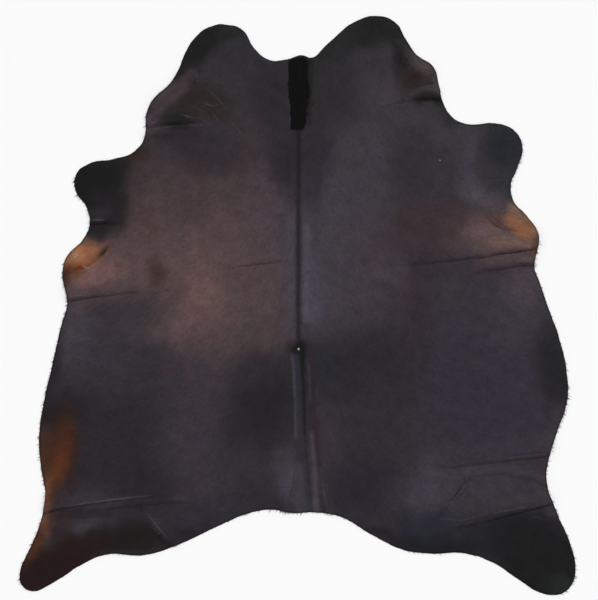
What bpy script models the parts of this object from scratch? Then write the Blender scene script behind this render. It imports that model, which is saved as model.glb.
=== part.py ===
"""A whole cowhide with its hair on, lying flat on its flesh side.

The frame has +X across the hide to the right, +Y along the spine to the neck and +Z up. Its origin
is under the middle of the outline, on the surface that the hide lies on. The two tables give
places in centimetres across and along, from about that middle. The hide is one sheet: the outline
is cut from a smooth closed curve, the surface between is lifted where the skin buckles, and the
thickness is added last, so the flesh side lies flat wherever no fold lifts it.
"""
from collections import namedtuple

import bpy
import numpy as np
from mathutils import Vector
from mathutils.geometry import delaunay_2d_cdt

# Driving sizes, in metres
HIDE_LENGTH = 2.13  # from the tip of the neck to the end of the longer hind leg
SKIN = 0.003  # leather with the hair that lies on it
RIM_STEP = 0.027  # between two points of the cut rim
FINE_STEP = 0.026  # between points on and beside the folds
FLAT_STEP = 0.078  # between points where the hide lies flat
CREST_STEP = 0.024  # between points along a fold's rows
ROWS = (-1.0, -0.5, 0.0, 0.35)  # rows along a fold, as shares of its sharp (-) or soft (+) width
KEEP_CLEAR = 0.5  # of a step, between points of the surface and those of a fold or the rim
CURVE_STEPS = 12  # straight bits in each stretch of the outline's curve
SHARP_ANGLE = 0.7  # radians, past which an edge is shaded sharp
CM = 0.01
MM = 0.001

COAT_COLOUR = (0.045, 0.032, 0.036, 1.0)
COAT_ROUGHNESS = 0.55

# The outline, clockwise from the notch at the neck: centimetres across and along
OUTLINE = {
    "right side of the neck": [
        (1.4, 91.9), (5.5, 91.1), (10.9, 95.8), (22.3, 104.8), (30.7, 106.3), (36.2, 103.9),
        (39.6, 98.4), (43.7, 92.3), (50.0, 87.6), (52.2, 80.5), (53.2, 75.6), (57.0, 69.2),
        (62.5, 66.6),
    ],
    "right foreleg and elbow": [
        (73.0, 66.8), (79.6, 64.4), (82.8, 58.5), (81.4, 51.8), (78.6, 44.0), (79.6, 38.4),
        (84.6, 32.6), (88.6, 26.6), (88.4, 20.6), (87.2, 14.6),
    ],
    "right flank": [
        (89.2, 8.4), (92.2, -0.4), (96.4, -12.2), (99.3, -25.6), (99.3, -35.4), (95.8, -46.2),
        (92.5, -57.0), (91.8, -65.0),
    ],
    "right hind leg": [
        (95.8, -77.0), (100.2, -87.2), (102.4, -96.6), (101.2, -102.6), (97.6, -106.1),
        (90.9, -106.3), (81.2, -100.8), (72.5, -95.0), (61.5, -91.4), (49.6, -91.5),
        (39.5, -90.2),
    ],
    "rump": [
        (27.6, -84.6), (15.9, -77.9), (6.0, -76.3), (-2.2, -76.6), (-8.5, -75.3),
        (-17.0, -76.4), (-29.6, -81.6),
    ],
    "left hind leg": [
        (-42.4, -87.6), (-56.0, -92.0), (-70.6, -91.9), (-78.8, -95.2), (-90.5, -102.5),
        (-97.4, -105.3), (-101.3, -103.2), (-102.0, -98.0), (-99.4, -91.8), (-95.4, -82.8),
    ],
    "left flank": [
        (-92.7, -70.2), (-94.2, -60.3), (-95.0, -48.5), (-93.6, -37.6), (-90.0, -21.5),
        (-86.8, -7.4), (-84.6, 0.6),
    ],
    "left elbow and foreleg": [
        (-86.4, 12.0), (-84.4, 18.4), (-79.2, 23.6), (-76.2, 30.6), (-77.6, 36.2), (-81.5, 42.0),
        (-81.4, 48.0), (-76.8, 51.9), (-67.7, 53.7), (-60.4, 56.2), (-56.3, 61.4),
    ],
    "left side of the neck": [
        (-55.2, 71.2), (-52.4, 76.4), (-47.4, 80.8), (-43.9, 86.2), (-41.0, 93.2), (-37.2, 98.9),
        (-31.4, 102.7), (-25.4, 103.1), (-20.2, 101.3), (-16.0, 94.6), (-10.0, 90.1),
        (-3.5, 90.5),
    ],
}

# The main folds. Each runs from its left end to its right one, bowed towards the neck by its bow.
# The side towards the neck slopes gently over its soft width and the other drops over its sharp
# width. Lengths are in centimetres, and a rise is the crest's height over the surface in
# millimetres at the left or right end.
Fold = namedtuple("Fold", "name left right bow soft sharp left_rise right_rise")
FOLDS = [
    Fold("left side of the neck, roll", (-54.0, 73.6), (-38.6, 84.8), 1.2, 7.0, 5.0, 7.0, 4.0),
    Fold("left shoulder, upper", (-55.0, 66.6), (-40.5, 67.4), 0.4, 5.5, 2.2, 6.5, 1.5),
    Fold("left shoulder, lower", (-57.5, 61.6), (-46.5, 63.8), 0.6, 3.0, 3.4, 5.0, 1.0),
    Fold("right side of the neck, roll", (38.0, 93.2), (48.0, 85.4), -0.8, 6.0, 5.5, 5.0, 6.0),
    Fold("right side of the neck, fold", (40.5, 75.4), (53.6, 76.2), 0.3, 6.0, 2.2, 1.5, 7.0),
    Fold("left foreleg", (-77.0, 30.4), (-66.5, 30.2), 0.5, 6.0, 2.4, 7.0, 1.5),
    Fold("left elbow", (-78.5, 13.6), (-68.0, 22.6), -0.8, 8.0, 3.0, 8.5, 3.0),
    Fold("left flank", (-85.5, 1.8), (-52.0, 6.0), 0.9, 9.0, 2.6, 9.0, 1.5),
    Fold("right elbow, kink", (69.5, 34.6), (78.0, 28.2), -1.0, 7.0, 2.6, 2.0, 6.0),
    Fold("right elbow, lower", (63.0, 23.4), (89.0, 25.0), 0.4, 5.0, 2.2, 1.0, 4.5),
    Fold("right flank, upper", (38.0, 14.0), (89.0, 20.4), -0.6, 9.0, 2.8, 1.0, 10.0),
    Fold("right flank, lower", (66.0, 11.8), (88.0, 15.4), 0.6, 3.2, 2.4, 1.5, 6.0),
    Fold("middle of the left side", (-27.0, 12.8), (-7.5, 15.2), 0.4, 6.0, 2.2, 1.5, 3.0),
    Fold("left hind leg, upper", (-93.5, -75.6), (-51.0, -70.2), 1.2, 8.0, 2.6, 8.0, 2.0),
    Fold("left hind leg, middle", (-70.0, -74.6), (-42.7, -72.0), 0.4, 2.6, 2.4, 3.0, 3.0),
    Fold("left hind leg, lower", (-88.0, -82.6), (-69.0, -82.4), 1.0, 4.5, 5.0, 5.0, 3.0),
    Fold("left hind leg, across", (-56.0, -76.6), (-45.4, -88.6), -0.8, 4.5, 3.4, 2.5, 5.0),
    Fold("right hind leg, first", (56.0, -58.0), (93.5, -54.0), 0.5, 8.0, 2.4, 2.0, 9.0),
    Fold("right hind leg, second", (62.0, -63.0), (92.5, -66.4), 2.8, 3.2, 2.6, 2.5, 7.0),
    Fold("right hind leg, across", (54.0, -74.6), (62.6, -63.4), 0.6, 4.5, 2.6, 3.0, 4.5),
    Fold("right hind leg, third", (61.0, -80.8), (94.5, -74.0), 1.2, 6.5, 2.6, 2.5, 8.5),
    Fold("rump, left of the tail", (-3.9, -76.0), (-1.2, -64.0), 0.3, 3.0, 2.6, 4.0, 1.5),
    Fold("rump, right of the tail", (6.6, -62.2), (11.2, -77.0), 0.4, 3.2, 2.6, 1.5, 4.5),
]
BLEND = 3.0  # how closely two folds that meet take the height of the higher one


def clear_scene():
    for thing in list(bpy.data.objects):
        bpy.data.objects.remove(thing, do_unlink=True)


def make_coat():
    coat = bpy.data.materials.new("cowhide")
    coat.use_nodes = True
    shader = coat.node_tree.nodes["Principled BSDF"]
    shader.inputs["Base Color"].default_value = COAT_COLOUR
    shader.inputs["Roughness"].default_value = COAT_ROUGHNESS
    shader.inputs["Metallic"].default_value = 0.0
    coat.diffuse_color = COAT_COLOUR
    return coat


def outline_loop():
    """The outline as a dense loop of points in metres, from a smooth curve through the table."""
    marks = [mark for stretch in OUTLINE.values() for mark in stretch]
    curve = bpy.data.curves.new("outline", "CURVE")
    curve.dimensions = "2D"
    curve.fill_mode = "NONE"
    curve.resolution_u = CURVE_STEPS
    spline = curve.splines.new("BEZIER")
    spline.bezier_points.add(len(marks) - 1)
    spline.use_cyclic_u = True
    for point, (across, along) in zip(spline.bezier_points, marks):
        point.co = (across * CM, along * CM, 0.0)
        point.handle_left_type = "AUTO"
        point.handle_right_type = "AUTO"
    guide = bpy.data.objects.new("outline", curve)
    bpy.context.scene.collection.objects.link(guide)
    bpy.context.view_layer.update()
    drawn = guide.evaluated_get(bpy.context.evaluated_depsgraph_get()).to_mesh()
    loop = np.array([vertex.co[:2] for vertex in drawn.vertices])
    bpy.data.objects.remove(guide, do_unlink=True)
    bpy.data.curves.remove(curve)
    return loop


def along_line(points, step, closed=False):
    """Points at even steps along a line, its ends included if it is open."""
    if closed:
        points = np.vstack([points, points[:1]])
    lengths = np.linalg.norm(np.diff(points, axis=0), axis=1)
    at = np.concatenate([[0.0], np.cumsum(lengths)])
    count = max(int(round(at[-1] / step)), 2)
    wanted = np.linspace(0.0, at[-1], count + 1)
    if closed:
        wanted = wanted[:-1]
    return np.stack([np.interp(wanted, at, points[:, i]) for i in (0, 1)], 1)


def centre_and_scale(loop):
    """What brings the table's outline to the middle of the frame and to the hide's length."""
    low = loop.min(0)
    high = loop.max(0)
    return (low + high) / 2, HIDE_LENGTH / (high - low)[1]


def crest_line(fold, middle, scale):
    """A fold's crest as a bowed line of points in metres."""
    left = (np.array(fold.left) * CM - middle) * scale
    right = (np.array(fold.right) * CM - middle) * scale
    run = right - left
    side = np.array([-run[1], run[0]]) / np.linalg.norm(run)
    t = np.linspace(0.0, 1.0, 25)[:, None]
    return left + t * run + 4.0 * t * (1.0 - t) * fold.bow * CM * side


def beside(crest, gap):
    """A line beside a crest, on its soft side where the gap is above 0."""
    runs = np.gradient(crest, axis=0)
    side = np.stack([-runs[:, 1], runs[:, 0]], 1)
    return crest + gap * side / np.linalg.norm(side, axis=1, keepdims=True)


def fold_rows(fold, crest):
    """The points on and beside one fold's crest."""
    rows = []
    for share in ROWS:
        width = fold.soft if share > 0.0 else fold.sharp
        rows.append(along_line(beside(crest, share * width * CM), CREST_STEP))
    return np.vstack(rows)


def nearest_on(points, line):
    """Each point's distance from a line, its place along it from 0 to 1, and its side of it."""
    starts = line[:-1]
    runs = np.diff(line, axis=0)
    away = points[:, None] - starts[None]
    part = (away * runs).sum(2) / (runs**2).sum(1)
    part = part.clip(0.0, 1.0)
    gaps = np.linalg.norm(away - part[:, :, None] * runs, axis=2)
    which = gaps.argmin(1)
    rows = np.arange(len(points))
    turn = runs[which, 0] * away[rows, which, 1] - runs[which, 1] * away[rows, which, 0]
    return gaps[rows, which], (which + part[rows, which]) / len(starts), turn


def bump(far):
    """1 on the crest, falling smoothly to 0 where far reaches 1."""
    return 0.5 + 0.5 * np.cos(np.pi * far.clip(0.0, 1.0))


def fold_height(points, fold, crest):
    """How high one fold lifts each point, and how far off the crest it is in its own widths."""
    gap, place, turn = nearest_on(points, crest)
    width = np.where(turn > 0.0, fold.soft, fold.sharp) * CM
    rise = fold.left_rise + (fold.right_rise - fold.left_rise) * place
    return rise * MM * bump(gap / width), gap / width


def heights(points, crests):
    """The flesh side's height over the floor at each point."""
    total = np.zeros(len(points))
    for fold, crest in crests:
        total += fold_height(points, fold, crest)[0] ** BLEND
    return total ** (1.0 / BLEND)


def inside(points, loop):
    """Which points lie inside a closed loop."""
    x, y = points[:, 0, None], points[:, 1, None]
    x0, y0 = loop.T
    x1, y1 = np.roll(loop, -1, axis=0).T
    spans = (y0 > y) != (y1 > y)
    with np.errstate(divide="ignore", invalid="ignore"):
        reach = x0 + (y - y0) * (x1 - x0) / (y1 - y0)
    return (spans & (x < reach)).sum(1) % 2 == 1


def staggered(low, high, step):
    """A sheet of points in staggered rows, and each one's row and place in its row."""
    rise = step * 0.75**0.5
    rows = int((high[1] - low[1]) / rise) + 2
    columns = int((high[0] - low[0]) / step) + 2
    row, column = np.meshgrid(np.arange(rows), np.arange(columns), indexing="ij")
    across = low[0] + (column + 0.5 * (row % 2)) * step
    along = low[1] + row * rise
    return np.stack([across.ravel(), along.ravel()], 1)


def clear_of(points, others, gap):
    """Which points keep at least this gap from all the others."""
    kept = np.ones(len(points), bool)
    for other in others:
        kept &= ((points - other) ** 2).sum(1) > gap * gap
    return kept


def inner_points(rim, crests):
    """Points between the rim: close together on the folds, and far apart where it lies flat."""
    low, high = rim.min(0), rim.max(0)
    ridge = np.vstack([fold_rows(fold, crest) for fold, crest in crests])
    ridge = ridge[inside(ridge, rim) & clear_of(ridge, rim, KEEP_CLEAR * RIM_STEP)]
    apart = []
    for point in ridge:
        if not apart or clear_of(point[None], np.array(apart), KEEP_CLEAR * CREST_STEP)[0]:
            apart.append(point)
    ridge = np.array(apart)
    fine = staggered(low, high, FINE_STEP)
    lifted = np.zeros(len(fine), bool)
    for fold, crest in crests:
        lifted |= fold_height(fine, fold, crest)[1] < 1.0 + FINE_STEP / (fold.soft * CM)
    fine = fine[lifted & inside(fine, rim)]
    fine = fine[clear_of(fine, rim, KEEP_CLEAR * FINE_STEP)]
    fine = fine[clear_of(fine, ridge, KEEP_CLEAR * FINE_STEP)]
    wide = staggered(low, high, FLAT_STEP)
    wide = wide[inside(wide, rim) & clear_of(wide, rim, KEEP_CLEAR * FLAT_STEP)]
    wide = wide[clear_of(wide, np.vstack([fine, ridge]), KEEP_CLEAR * FLAT_STEP)]
    return np.vstack([ridge, fine, wide])


def make_hide(collection):
    loop = outline_loop()
    middle, scale = centre_and_scale(loop)
    rim = along_line((loop - middle) * scale, RIM_STEP, closed=True)
    crests = [(fold, crest_line(fold, middle, scale)) for fold in FOLDS]
    flat = np.vstack([rim, inner_points(rim, crests)])
    cut = delaunay_2d_cdt([Vector(p) for p in flat], [], [list(range(len(rim)))], 1, 1e-6)
    places = np.array([point[:] for point in cut[0]])
    lift = heights(places, crests)
    mesh = bpy.data.meshes.new("hide")
    mesh.from_pydata([(x, y, z) for (x, y), z in zip(places, lift)], [], cut[2])
    mesh.materials.append(make_coat())
    mesh.shade_smooth()
    mesh.set_sharp_from_angle(angle=SHARP_ANGLE)
    hide = bpy.data.objects.new("hide", mesh)
    collection.objects.link(hide)
    thick = hide.modifiers.new("thickness", "SOLIDIFY")
    thick.thickness = SKIN
    thick.offset = 1.0
    thick.use_even_offset = True
    return hide


def main():
    clear_scene()
    collection = bpy.data.collections.new("cowhide")
    bpy.context.scene.collection.children.link(collection)
    make_hide(collection)


main()
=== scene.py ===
# %% [markdown]
# # A whole cowhide with its hair on, laid flat
#
# A hide rug is one tanned skin: about two millimetres of leather, with the animal's short hair
# left on one side of it and bare suede on the other. Nothing is sewn to it. This lesson dresses
# the solid model of such a skin. The leather and the coat are two thin closed sheets on the same
# folds, and the hair that can be told apart, at the rim, along the mane and over the whole coat,
# is made of real locks. Lengths are in metres. +X runs across the hide, +Y runs along its spine
# to the neck, and +Z is up.

# %% Load the solid model
from collections import namedtuple

import bpy
import numpy as np
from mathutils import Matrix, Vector
from mathutils.geometry import delaunay_2d_cdt
from mathutils.kdtree import KDTree


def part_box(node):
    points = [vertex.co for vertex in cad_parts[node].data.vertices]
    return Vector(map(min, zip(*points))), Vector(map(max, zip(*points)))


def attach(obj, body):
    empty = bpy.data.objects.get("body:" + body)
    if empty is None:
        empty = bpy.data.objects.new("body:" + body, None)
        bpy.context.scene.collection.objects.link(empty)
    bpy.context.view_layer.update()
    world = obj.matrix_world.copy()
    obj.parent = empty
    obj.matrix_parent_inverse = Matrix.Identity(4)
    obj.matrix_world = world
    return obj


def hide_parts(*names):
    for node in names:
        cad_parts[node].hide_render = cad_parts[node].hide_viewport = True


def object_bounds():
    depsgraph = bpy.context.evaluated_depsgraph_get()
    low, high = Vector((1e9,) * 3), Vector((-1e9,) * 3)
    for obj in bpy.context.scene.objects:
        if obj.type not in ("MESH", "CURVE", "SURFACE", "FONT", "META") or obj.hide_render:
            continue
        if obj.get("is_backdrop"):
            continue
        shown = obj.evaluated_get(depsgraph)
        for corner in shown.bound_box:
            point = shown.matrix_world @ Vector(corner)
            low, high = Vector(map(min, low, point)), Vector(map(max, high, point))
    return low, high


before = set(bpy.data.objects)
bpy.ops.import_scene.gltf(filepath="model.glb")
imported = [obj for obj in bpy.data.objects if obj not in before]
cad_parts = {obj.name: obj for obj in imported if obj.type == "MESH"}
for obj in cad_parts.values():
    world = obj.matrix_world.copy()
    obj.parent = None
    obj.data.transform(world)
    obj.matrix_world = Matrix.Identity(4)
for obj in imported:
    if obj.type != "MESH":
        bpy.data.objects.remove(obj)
solid_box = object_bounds()
SOLID_LOW, SOLID_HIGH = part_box("hide")
LENGTH = SOLID_HIGH.y - SOLID_LOW.y
CM = 0.01
MM = 0.001

# %% [markdown]
# ## The studio
#
# The hide is looked at from straight above on a white floor. Its shape reads only by small
# slopes, so the light has a direction: a soft sun from the neck end makes the slopes that face
# the neck pale and those that face the tail dark. The sky is dimmer overhead than round the
# horizon. A flat coat then mirrors the dim part and keeps its depth, while a slope catches the
# bright part, as it would between the side lamps of a photographer.

# %% The camera, the light and the floor
CAMERA_MIDDLE = (0.0055, 0.0202)
VIEW_HEIGHT = 2.2074
LENS = 85.0
FILM = 36.0
SUN_STRENGTH = 2.0
SUN_TURN = (0.72, 0.0, 2.72)
SUN_SOFTNESS = 0.35
SKY_SIDE = 0.85
SKY_TOP = 0.42
SKY_SPAN = (0.1, 0.95)  # from where to where it dims, 0 at the horizon and 1 overhead
FLOOR_TONE = (0.93, 0.93, 0.93, 1.0)
FLOOR_SIZE = 24.0
FLOOR_DROP = 0.2 * MM

scene = bpy.context.scene
scene.view_settings.view_transform = "Standard"


def place(name, data):
    """A new object in the scene."""
    thing = bpy.data.objects.new(name, data)
    scene.collection.objects.link(thing)
    return thing


def make_camera():
    lens = bpy.data.cameras.new("camera")
    lens.lens = LENS
    lens.sensor_width = FILM
    camera = place("camera", lens)
    away = VIEW_HEIGHT * LENS / FILM
    camera.location = (*CAMERA_MIDDLE, away)
    scene.camera = camera


def make_sun():
    lamp = bpy.data.lights.new("sun", "SUN")
    lamp.energy = SUN_STRENGTH
    lamp.angle = SUN_SOFTNESS
    sun = place("sun", lamp)
    sun.rotation_euler = SUN_TURN


make_camera()
make_sun()
print("the camera is", round(scene.camera.location.z, 2), "m above the floor")

# %% [markdown]
# ## A short way to write shader maths
#
# A coat's colour is a long sum of masks and noises, and linking each node by hand would bury it.
# `Wire` stands for one output socket and can be used in Python sums: each sum adds the node that
# works it out. `Nodes` makes every other node from its type, its settings and its inputs.

# %% Sockets that add and multiply


class Wire:
    """One output socket, which can be added to, multiplied and so on like a number."""

    def __init__(self, nodes, socket):
        self.nodes = nodes
        self.socket = socket

    def __add__(self, other):
        return self.nodes.sum("ADD", self, other)

    def __radd__(self, other):
        return self.nodes.sum("ADD", other, self)

    def __sub__(self, other):
        return self.nodes.sum("SUBTRACT", self, other)

    def __rsub__(self, other):
        return self.nodes.sum("SUBTRACT", other, self)

    def __mul__(self, other):
        return self.nodes.sum("MULTIPLY", self, other)

    def __rmul__(self, other):
        return self.nodes.sum("MULTIPLY", other, self)


class Nodes:
    """The nodes of one material or sky."""

    def __init__(self, owner):
        owner.use_nodes = True
        self.tree = owner.node_tree

    def node(self, kind, settings=None, inputs=None, output=0):
        """One node and the wire from one of its outputs."""
        made = self.tree.nodes.new("ShaderNode" + kind)
        for name, value in (settings or {}).items():
            setattr(made, name, value)
        for name, value in (inputs or {}).items():
            self.feed(made.inputs[name], value)
        return Wire(self, made.outputs[output])

    def feed(self, socket, value):
        """Links a wire to a socket, or sets the socket's own value."""
        if isinstance(value, Wire):
            self.tree.links.new(value.socket, socket)
        elif isinstance(value, (int, float)) and socket.type == "RGBA":
            socket.default_value = (value, value, value, 1.0)
        else:
            socket.default_value = value

    def sum(self, operation, first, second):
        """Two values joined by the node that suits them: colours, vectors or plain numbers."""
        kinds = {part.socket.type for part in (first, second) if isinstance(part, Wire)}
        if "RGBA" in kinds:
            settings = {"data_type": "RGBA", "blend_type": operation}
            return self.node("Mix", settings, {0: 1.0, 6: first, 7: second}, 2)
        kind = "VectorMath" if "VECTOR" in kinds else "Math"
        return self.node(kind, {"operation": operation}, {0: first, 1: second})

    def mix(self, share, first, second):
        """From the first colour to the second as the share goes from 0 to 1."""
        return self.node("Mix", {"data_type": "RGBA"}, {0: share, 6: first, 7: second}, 2)

    def ramp(self, value, start, end, low=0.0, high=1.0):
        """A value eased from low to high while it goes from start to end."""
        settings = {"interpolation_type": "SMOOTHSTEP"}
        inputs = {"Value": value, "From Min": start, "From Max": end, "To Min": low, "To Max": high}
        return self.node("MapRange", settings, inputs)

    def noise(self, vector, scale, detail=2.0, colour=False):
        """Smooth noise, as a number round 0.5 or as a colour."""
        inputs = {"Vector": vector, "Scale": scale, "Detail": detail}
        return self.node("TexNoise", {}, inputs, 1 if colour else 0)

    def attribute(self, name, vector=False):
        """A value that the mesh carries at its points."""
        return self.node("Attribute", {"attribute_name": name}, {}, 1 if vector else 2)

    def place(self):
        """Where the shaded point lies, in the piece's own metres."""
        return self.node("TexCoord", {}, {}, 3)


def new_material(name, shine):
    """A material, its nodes and the inputs of its shader."""
    material = bpy.data.materials.new(name)
    nodes = Nodes(material)
    inputs = nodes.tree.nodes["Principled BSDF"].inputs
    inputs["Specular IOR Level"].default_value = shine
    return material, nodes, inputs


def make_sky():
    world = bpy.data.worlds.new("studio")
    scene.world = world
    nodes = Nodes(world)
    up = nodes.node("SeparateXYZ", {}, {0: nodes.node("TexCoord", {}, {}, 0)}, 2)
    strength = nodes.ramp(up, *SKY_SPAN, SKY_SIDE, SKY_TOP)
    nodes.feed(nodes.tree.nodes["Background"].inputs["Strength"], strength)
    nodes.feed(nodes.tree.nodes["Background"].inputs["Color"], (1.0, 1.0, 1.0, 1.0))


def make_floor():
    half = FLOOR_SIZE / 2
    corners = [(-half, -half), (half, -half), (half, half), (-half, half)]
    mesh = bpy.data.meshes.new("floor")
    mesh.from_pydata([(x, y, -FLOOR_DROP) for x, y in corners], [], [(0, 1, 2, 3)])
    material, _, inputs = new_material("white floor", 0.0)
    inputs["Base Color"].default_value = FLOOR_TONE
    inputs["Roughness"].default_value = 1.0
    mesh.materials.append(material)
    place("floor", mesh)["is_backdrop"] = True


make_sky()
make_floor()
print("the floor is", FLOOR_SIZE, "m wide")

# %% [markdown]
# ## The cut of the skin
#
# The outline is the animal's: a notch between the two sides of the neck, short forelegs, bulging
# elbows, long flanks, and the hind legs on either side of the rump. A tanner trims it in long
# smooth sweeps, so a smooth closed curve through a few marks draws it better than many points.
# The marks are centimetres across and along from about the middle of the hide.

# %% The outline's marks
OUTLINE = {
    "right side of the neck": [
        (1.4, 91.9), (5.5, 91.1), (10.9, 95.8), (22.3, 104.8), (30.7, 106.3), (36.2, 103.9),
        (39.6, 98.4), (43.7, 92.3), (50.0, 87.6), (52.2, 80.5), (53.2, 75.6), (57.0, 69.2),
        (62.5, 66.6),
    ],
    "right foreleg and elbow": [
        (73.0, 66.8), (79.6, 64.4), (82.8, 58.5), (81.4, 51.8), (78.6, 44.0), (79.6, 38.4),
        (84.6, 32.6), (88.6, 26.6), (88.4, 20.6), (87.2, 14.6),
    ],
    "right flank": [
        (89.2, 8.4), (92.2, -0.4), (96.4, -12.2), (99.3, -25.6), (99.3, -35.4), (95.8, -46.2),
        (92.5, -57.0), (91.8, -65.0),
    ],
    "right hind leg": [
        (95.8, -77.0), (100.2, -87.2), (102.4, -96.6), (101.2, -102.6), (97.6, -106.1),
        (90.9, -106.3), (81.2, -100.8), (72.5, -95.0), (61.5, -91.4), (49.6, -91.5),
        (39.5, -90.2),
    ],
    "rump": [
        (27.6, -84.6), (15.9, -77.9), (6.0, -76.3), (-2.2, -76.6), (-8.5, -75.3),
        (-17.0, -76.4), (-29.6, -81.6),
    ],
    "left hind leg": [
        (-42.4, -87.6), (-56.0, -92.0), (-70.6, -91.9), (-78.8, -95.2), (-90.5, -102.5),
        (-97.4, -105.3), (-101.3, -103.2), (-102.0, -98.0), (-99.4, -91.8), (-95.4, -82.8),
    ],
    "left flank": [
        (-92.7, -70.2), (-94.2, -60.3), (-95.0, -48.5), (-93.6, -37.6), (-90.0, -21.5),
        (-86.8, -7.4), (-84.6, 0.6),
    ],
    "left elbow and foreleg": [
        (-86.4, 12.0), (-84.4, 18.4), (-79.2, 23.6), (-76.2, 30.6), (-77.6, 36.2), (-81.5, 42.0),
        (-81.4, 48.0), (-76.8, 51.9), (-67.7, 53.7), (-60.4, 56.2), (-56.3, 61.4),
    ],
    "left side of the neck": [
        (-55.2, 71.2), (-52.4, 76.4), (-47.4, 80.8), (-43.9, 86.2), (-41.0, 93.2), (-37.2, 98.9),
        (-31.4, 102.7), (-25.4, 103.1), (-20.2, 101.3), (-16.0, 94.6), (-10.0, 90.1),
        (-3.5, 90.5),
    ],
}
CURVE_STEPS = 24  # between two marks


def flat_places(mesh):
    """Where a mesh's points lie, seen from above."""
    return np.array([vertex.co[:2] for vertex in mesh.vertices])


def outline_loop():
    """The outline as a dense loop of points in metres, clockwise, round the hide's middle."""
    marks = [mark for stretch in OUTLINE.values() for mark in stretch]
    curve = bpy.data.curves.new("outline", "CURVE")
    curve.dimensions = "2D"
    curve.fill_mode = "NONE"
    curve.resolution_u = CURVE_STEPS
    spline = curve.splines.new("BEZIER")
    spline.bezier_points.add(len(marks) - 1)
    spline.use_cyclic_u = True
    for point, (across, along) in zip(spline.bezier_points, marks):
        point.co = (across * CM, along * CM, 0.0)
        point.handle_left_type = "AUTO"
        point.handle_right_type = "AUTO"
    guide = place("outline", curve)
    bpy.context.view_layer.update()
    drawn = guide.evaluated_get(bpy.context.evaluated_depsgraph_get()).to_mesh()
    loop = flat_places(drawn)
    bpy.data.objects.remove(guide, do_unlink=True)
    bpy.data.curves.remove(curve)
    return loop


LOOP = outline_loop()
MIDDLE = (LOOP.min(0) + LOOP.max(0)) / 2
SCALE = LENGTH / (LOOP.max(0) - LOOP.min(0))[1]
LOOP = (LOOP - MIDDLE) * SCALE


def on_hide(marks):
    """Places in metres from marks in centimetres."""
    return (np.array(marks, float) * CM - MIDDLE) * SCALE


print(f"the outline has {len(LOOP)} points and is scaled by {SCALE:.4f} to the solid's length")

# %% [markdown]
# ## Lines on the surface
#
# The outline is walked at even steps, shifted outwards or inwards to shape the rim, and made a
# little uneven, because a hand-held knife never cuts quite straight. The same helpers tell how
# far any point lies from a fold, and on which side of it.

# %% Helpers for lines
TURN = 2 * np.pi
WAVE_RANGE = (0.7, 1.6)  # the swells of one field, as shares of its size


def along_line(points, step, closed=False):
    """Points at even steps along a line, its ends included if it is open."""
    if closed:
        points = np.vstack([points, points[:1]])
    lengths = np.linalg.norm(np.diff(points, axis=0), axis=1)
    at = np.concatenate([[0.0], np.cumsum(lengths)])
    count = max(int(round(at[-1] / step)), 2)
    wanted = np.linspace(0.0, at[-1], count + 1)
    if closed:
        wanted = wanted[:-1]
    return np.stack([np.interp(wanted, at, points[:, i]) for i in (0, 1)], 1)


def outwards(loop):
    """Unit directions out of a clockwise loop at each of its points."""
    run = np.roll(loop, -1, axis=0) - np.roll(loop, 1, axis=0)
    side = np.stack([-run[:, 1], run[:, 0]], 1)
    return side / np.linalg.norm(side, axis=1, keepdims=True)


def smooth_line(marks, count):
    """A smooth open line of points through a few marks."""
    marks = on_hide(marks)
    at = np.concatenate([[0.0], np.cumsum(np.linalg.norm(np.diff(marks, axis=0), axis=1))])
    rounded = np.linspace(0.0, at[-1], count)
    line = np.stack([np.interp(rounded, at, marks[:, i]) for i in (0, 1)], 1)
    for _ in range(count // 4):
        line[1:-1] = (line[:-2] + 2.0 * line[1:-1] + line[2:]) / 4.0
    return line


def nearest_on(points, line):
    """Each point's distance from a line, its place along it from 0 to 1, and its side of it."""
    starts = line[:-1]
    runs = np.diff(line, axis=0)
    away = points[:, None] - starts[None]
    part = ((away * runs).sum(2) / (runs**2).sum(1)).clip(0.0, 1.0)
    gaps = np.linalg.norm(away - part[:, :, None] * runs, axis=2)
    which = gaps.argmin(1)
    rows = np.arange(len(points))
    turn = runs[which, 0] * away[rows, which, 1] - runs[which, 1] * away[rows, which, 0]
    return gaps[rows, which], (which + part[rows, which]) / len(starts), turn


def waves(points, size, seed, count=7):
    """Smooth unevenness, mostly between -1 and 1, in swells of about this size."""
    chance = np.random.default_rng(seed)
    total = np.zeros(len(points))
    for _ in range(count):
        angle = chance.uniform(0.0, TURN)
        length = size * chance.uniform(*WAVE_RANGE)
        run = points[:, 0] * np.cos(angle) + points[:, 1] * np.sin(angle)
        total += np.sin(TURN * run / length + chance.uniform(0.0, TURN))
    return total / count**0.5


def inside(points, loop):
    """Which points lie inside a closed loop."""
    found = np.zeros(len(points), bool)
    x, y = points.T
    for (x0, y0), (x1, y1) in zip(loop, np.roll(loop, -1, axis=0)):
        spans = (y0 > y) != (y1 > y)
        if spans.any():
            reach = x0 + (y[spans] - y0) * (x1 - x0) / (y1 - y0)
            found[spans] ^= x[spans] < reach
    return found


print("the cut edge is", round(np.linalg.norm(np.diff(LOOP, axis=0), axis=1).sum(), 2), "m long")
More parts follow.
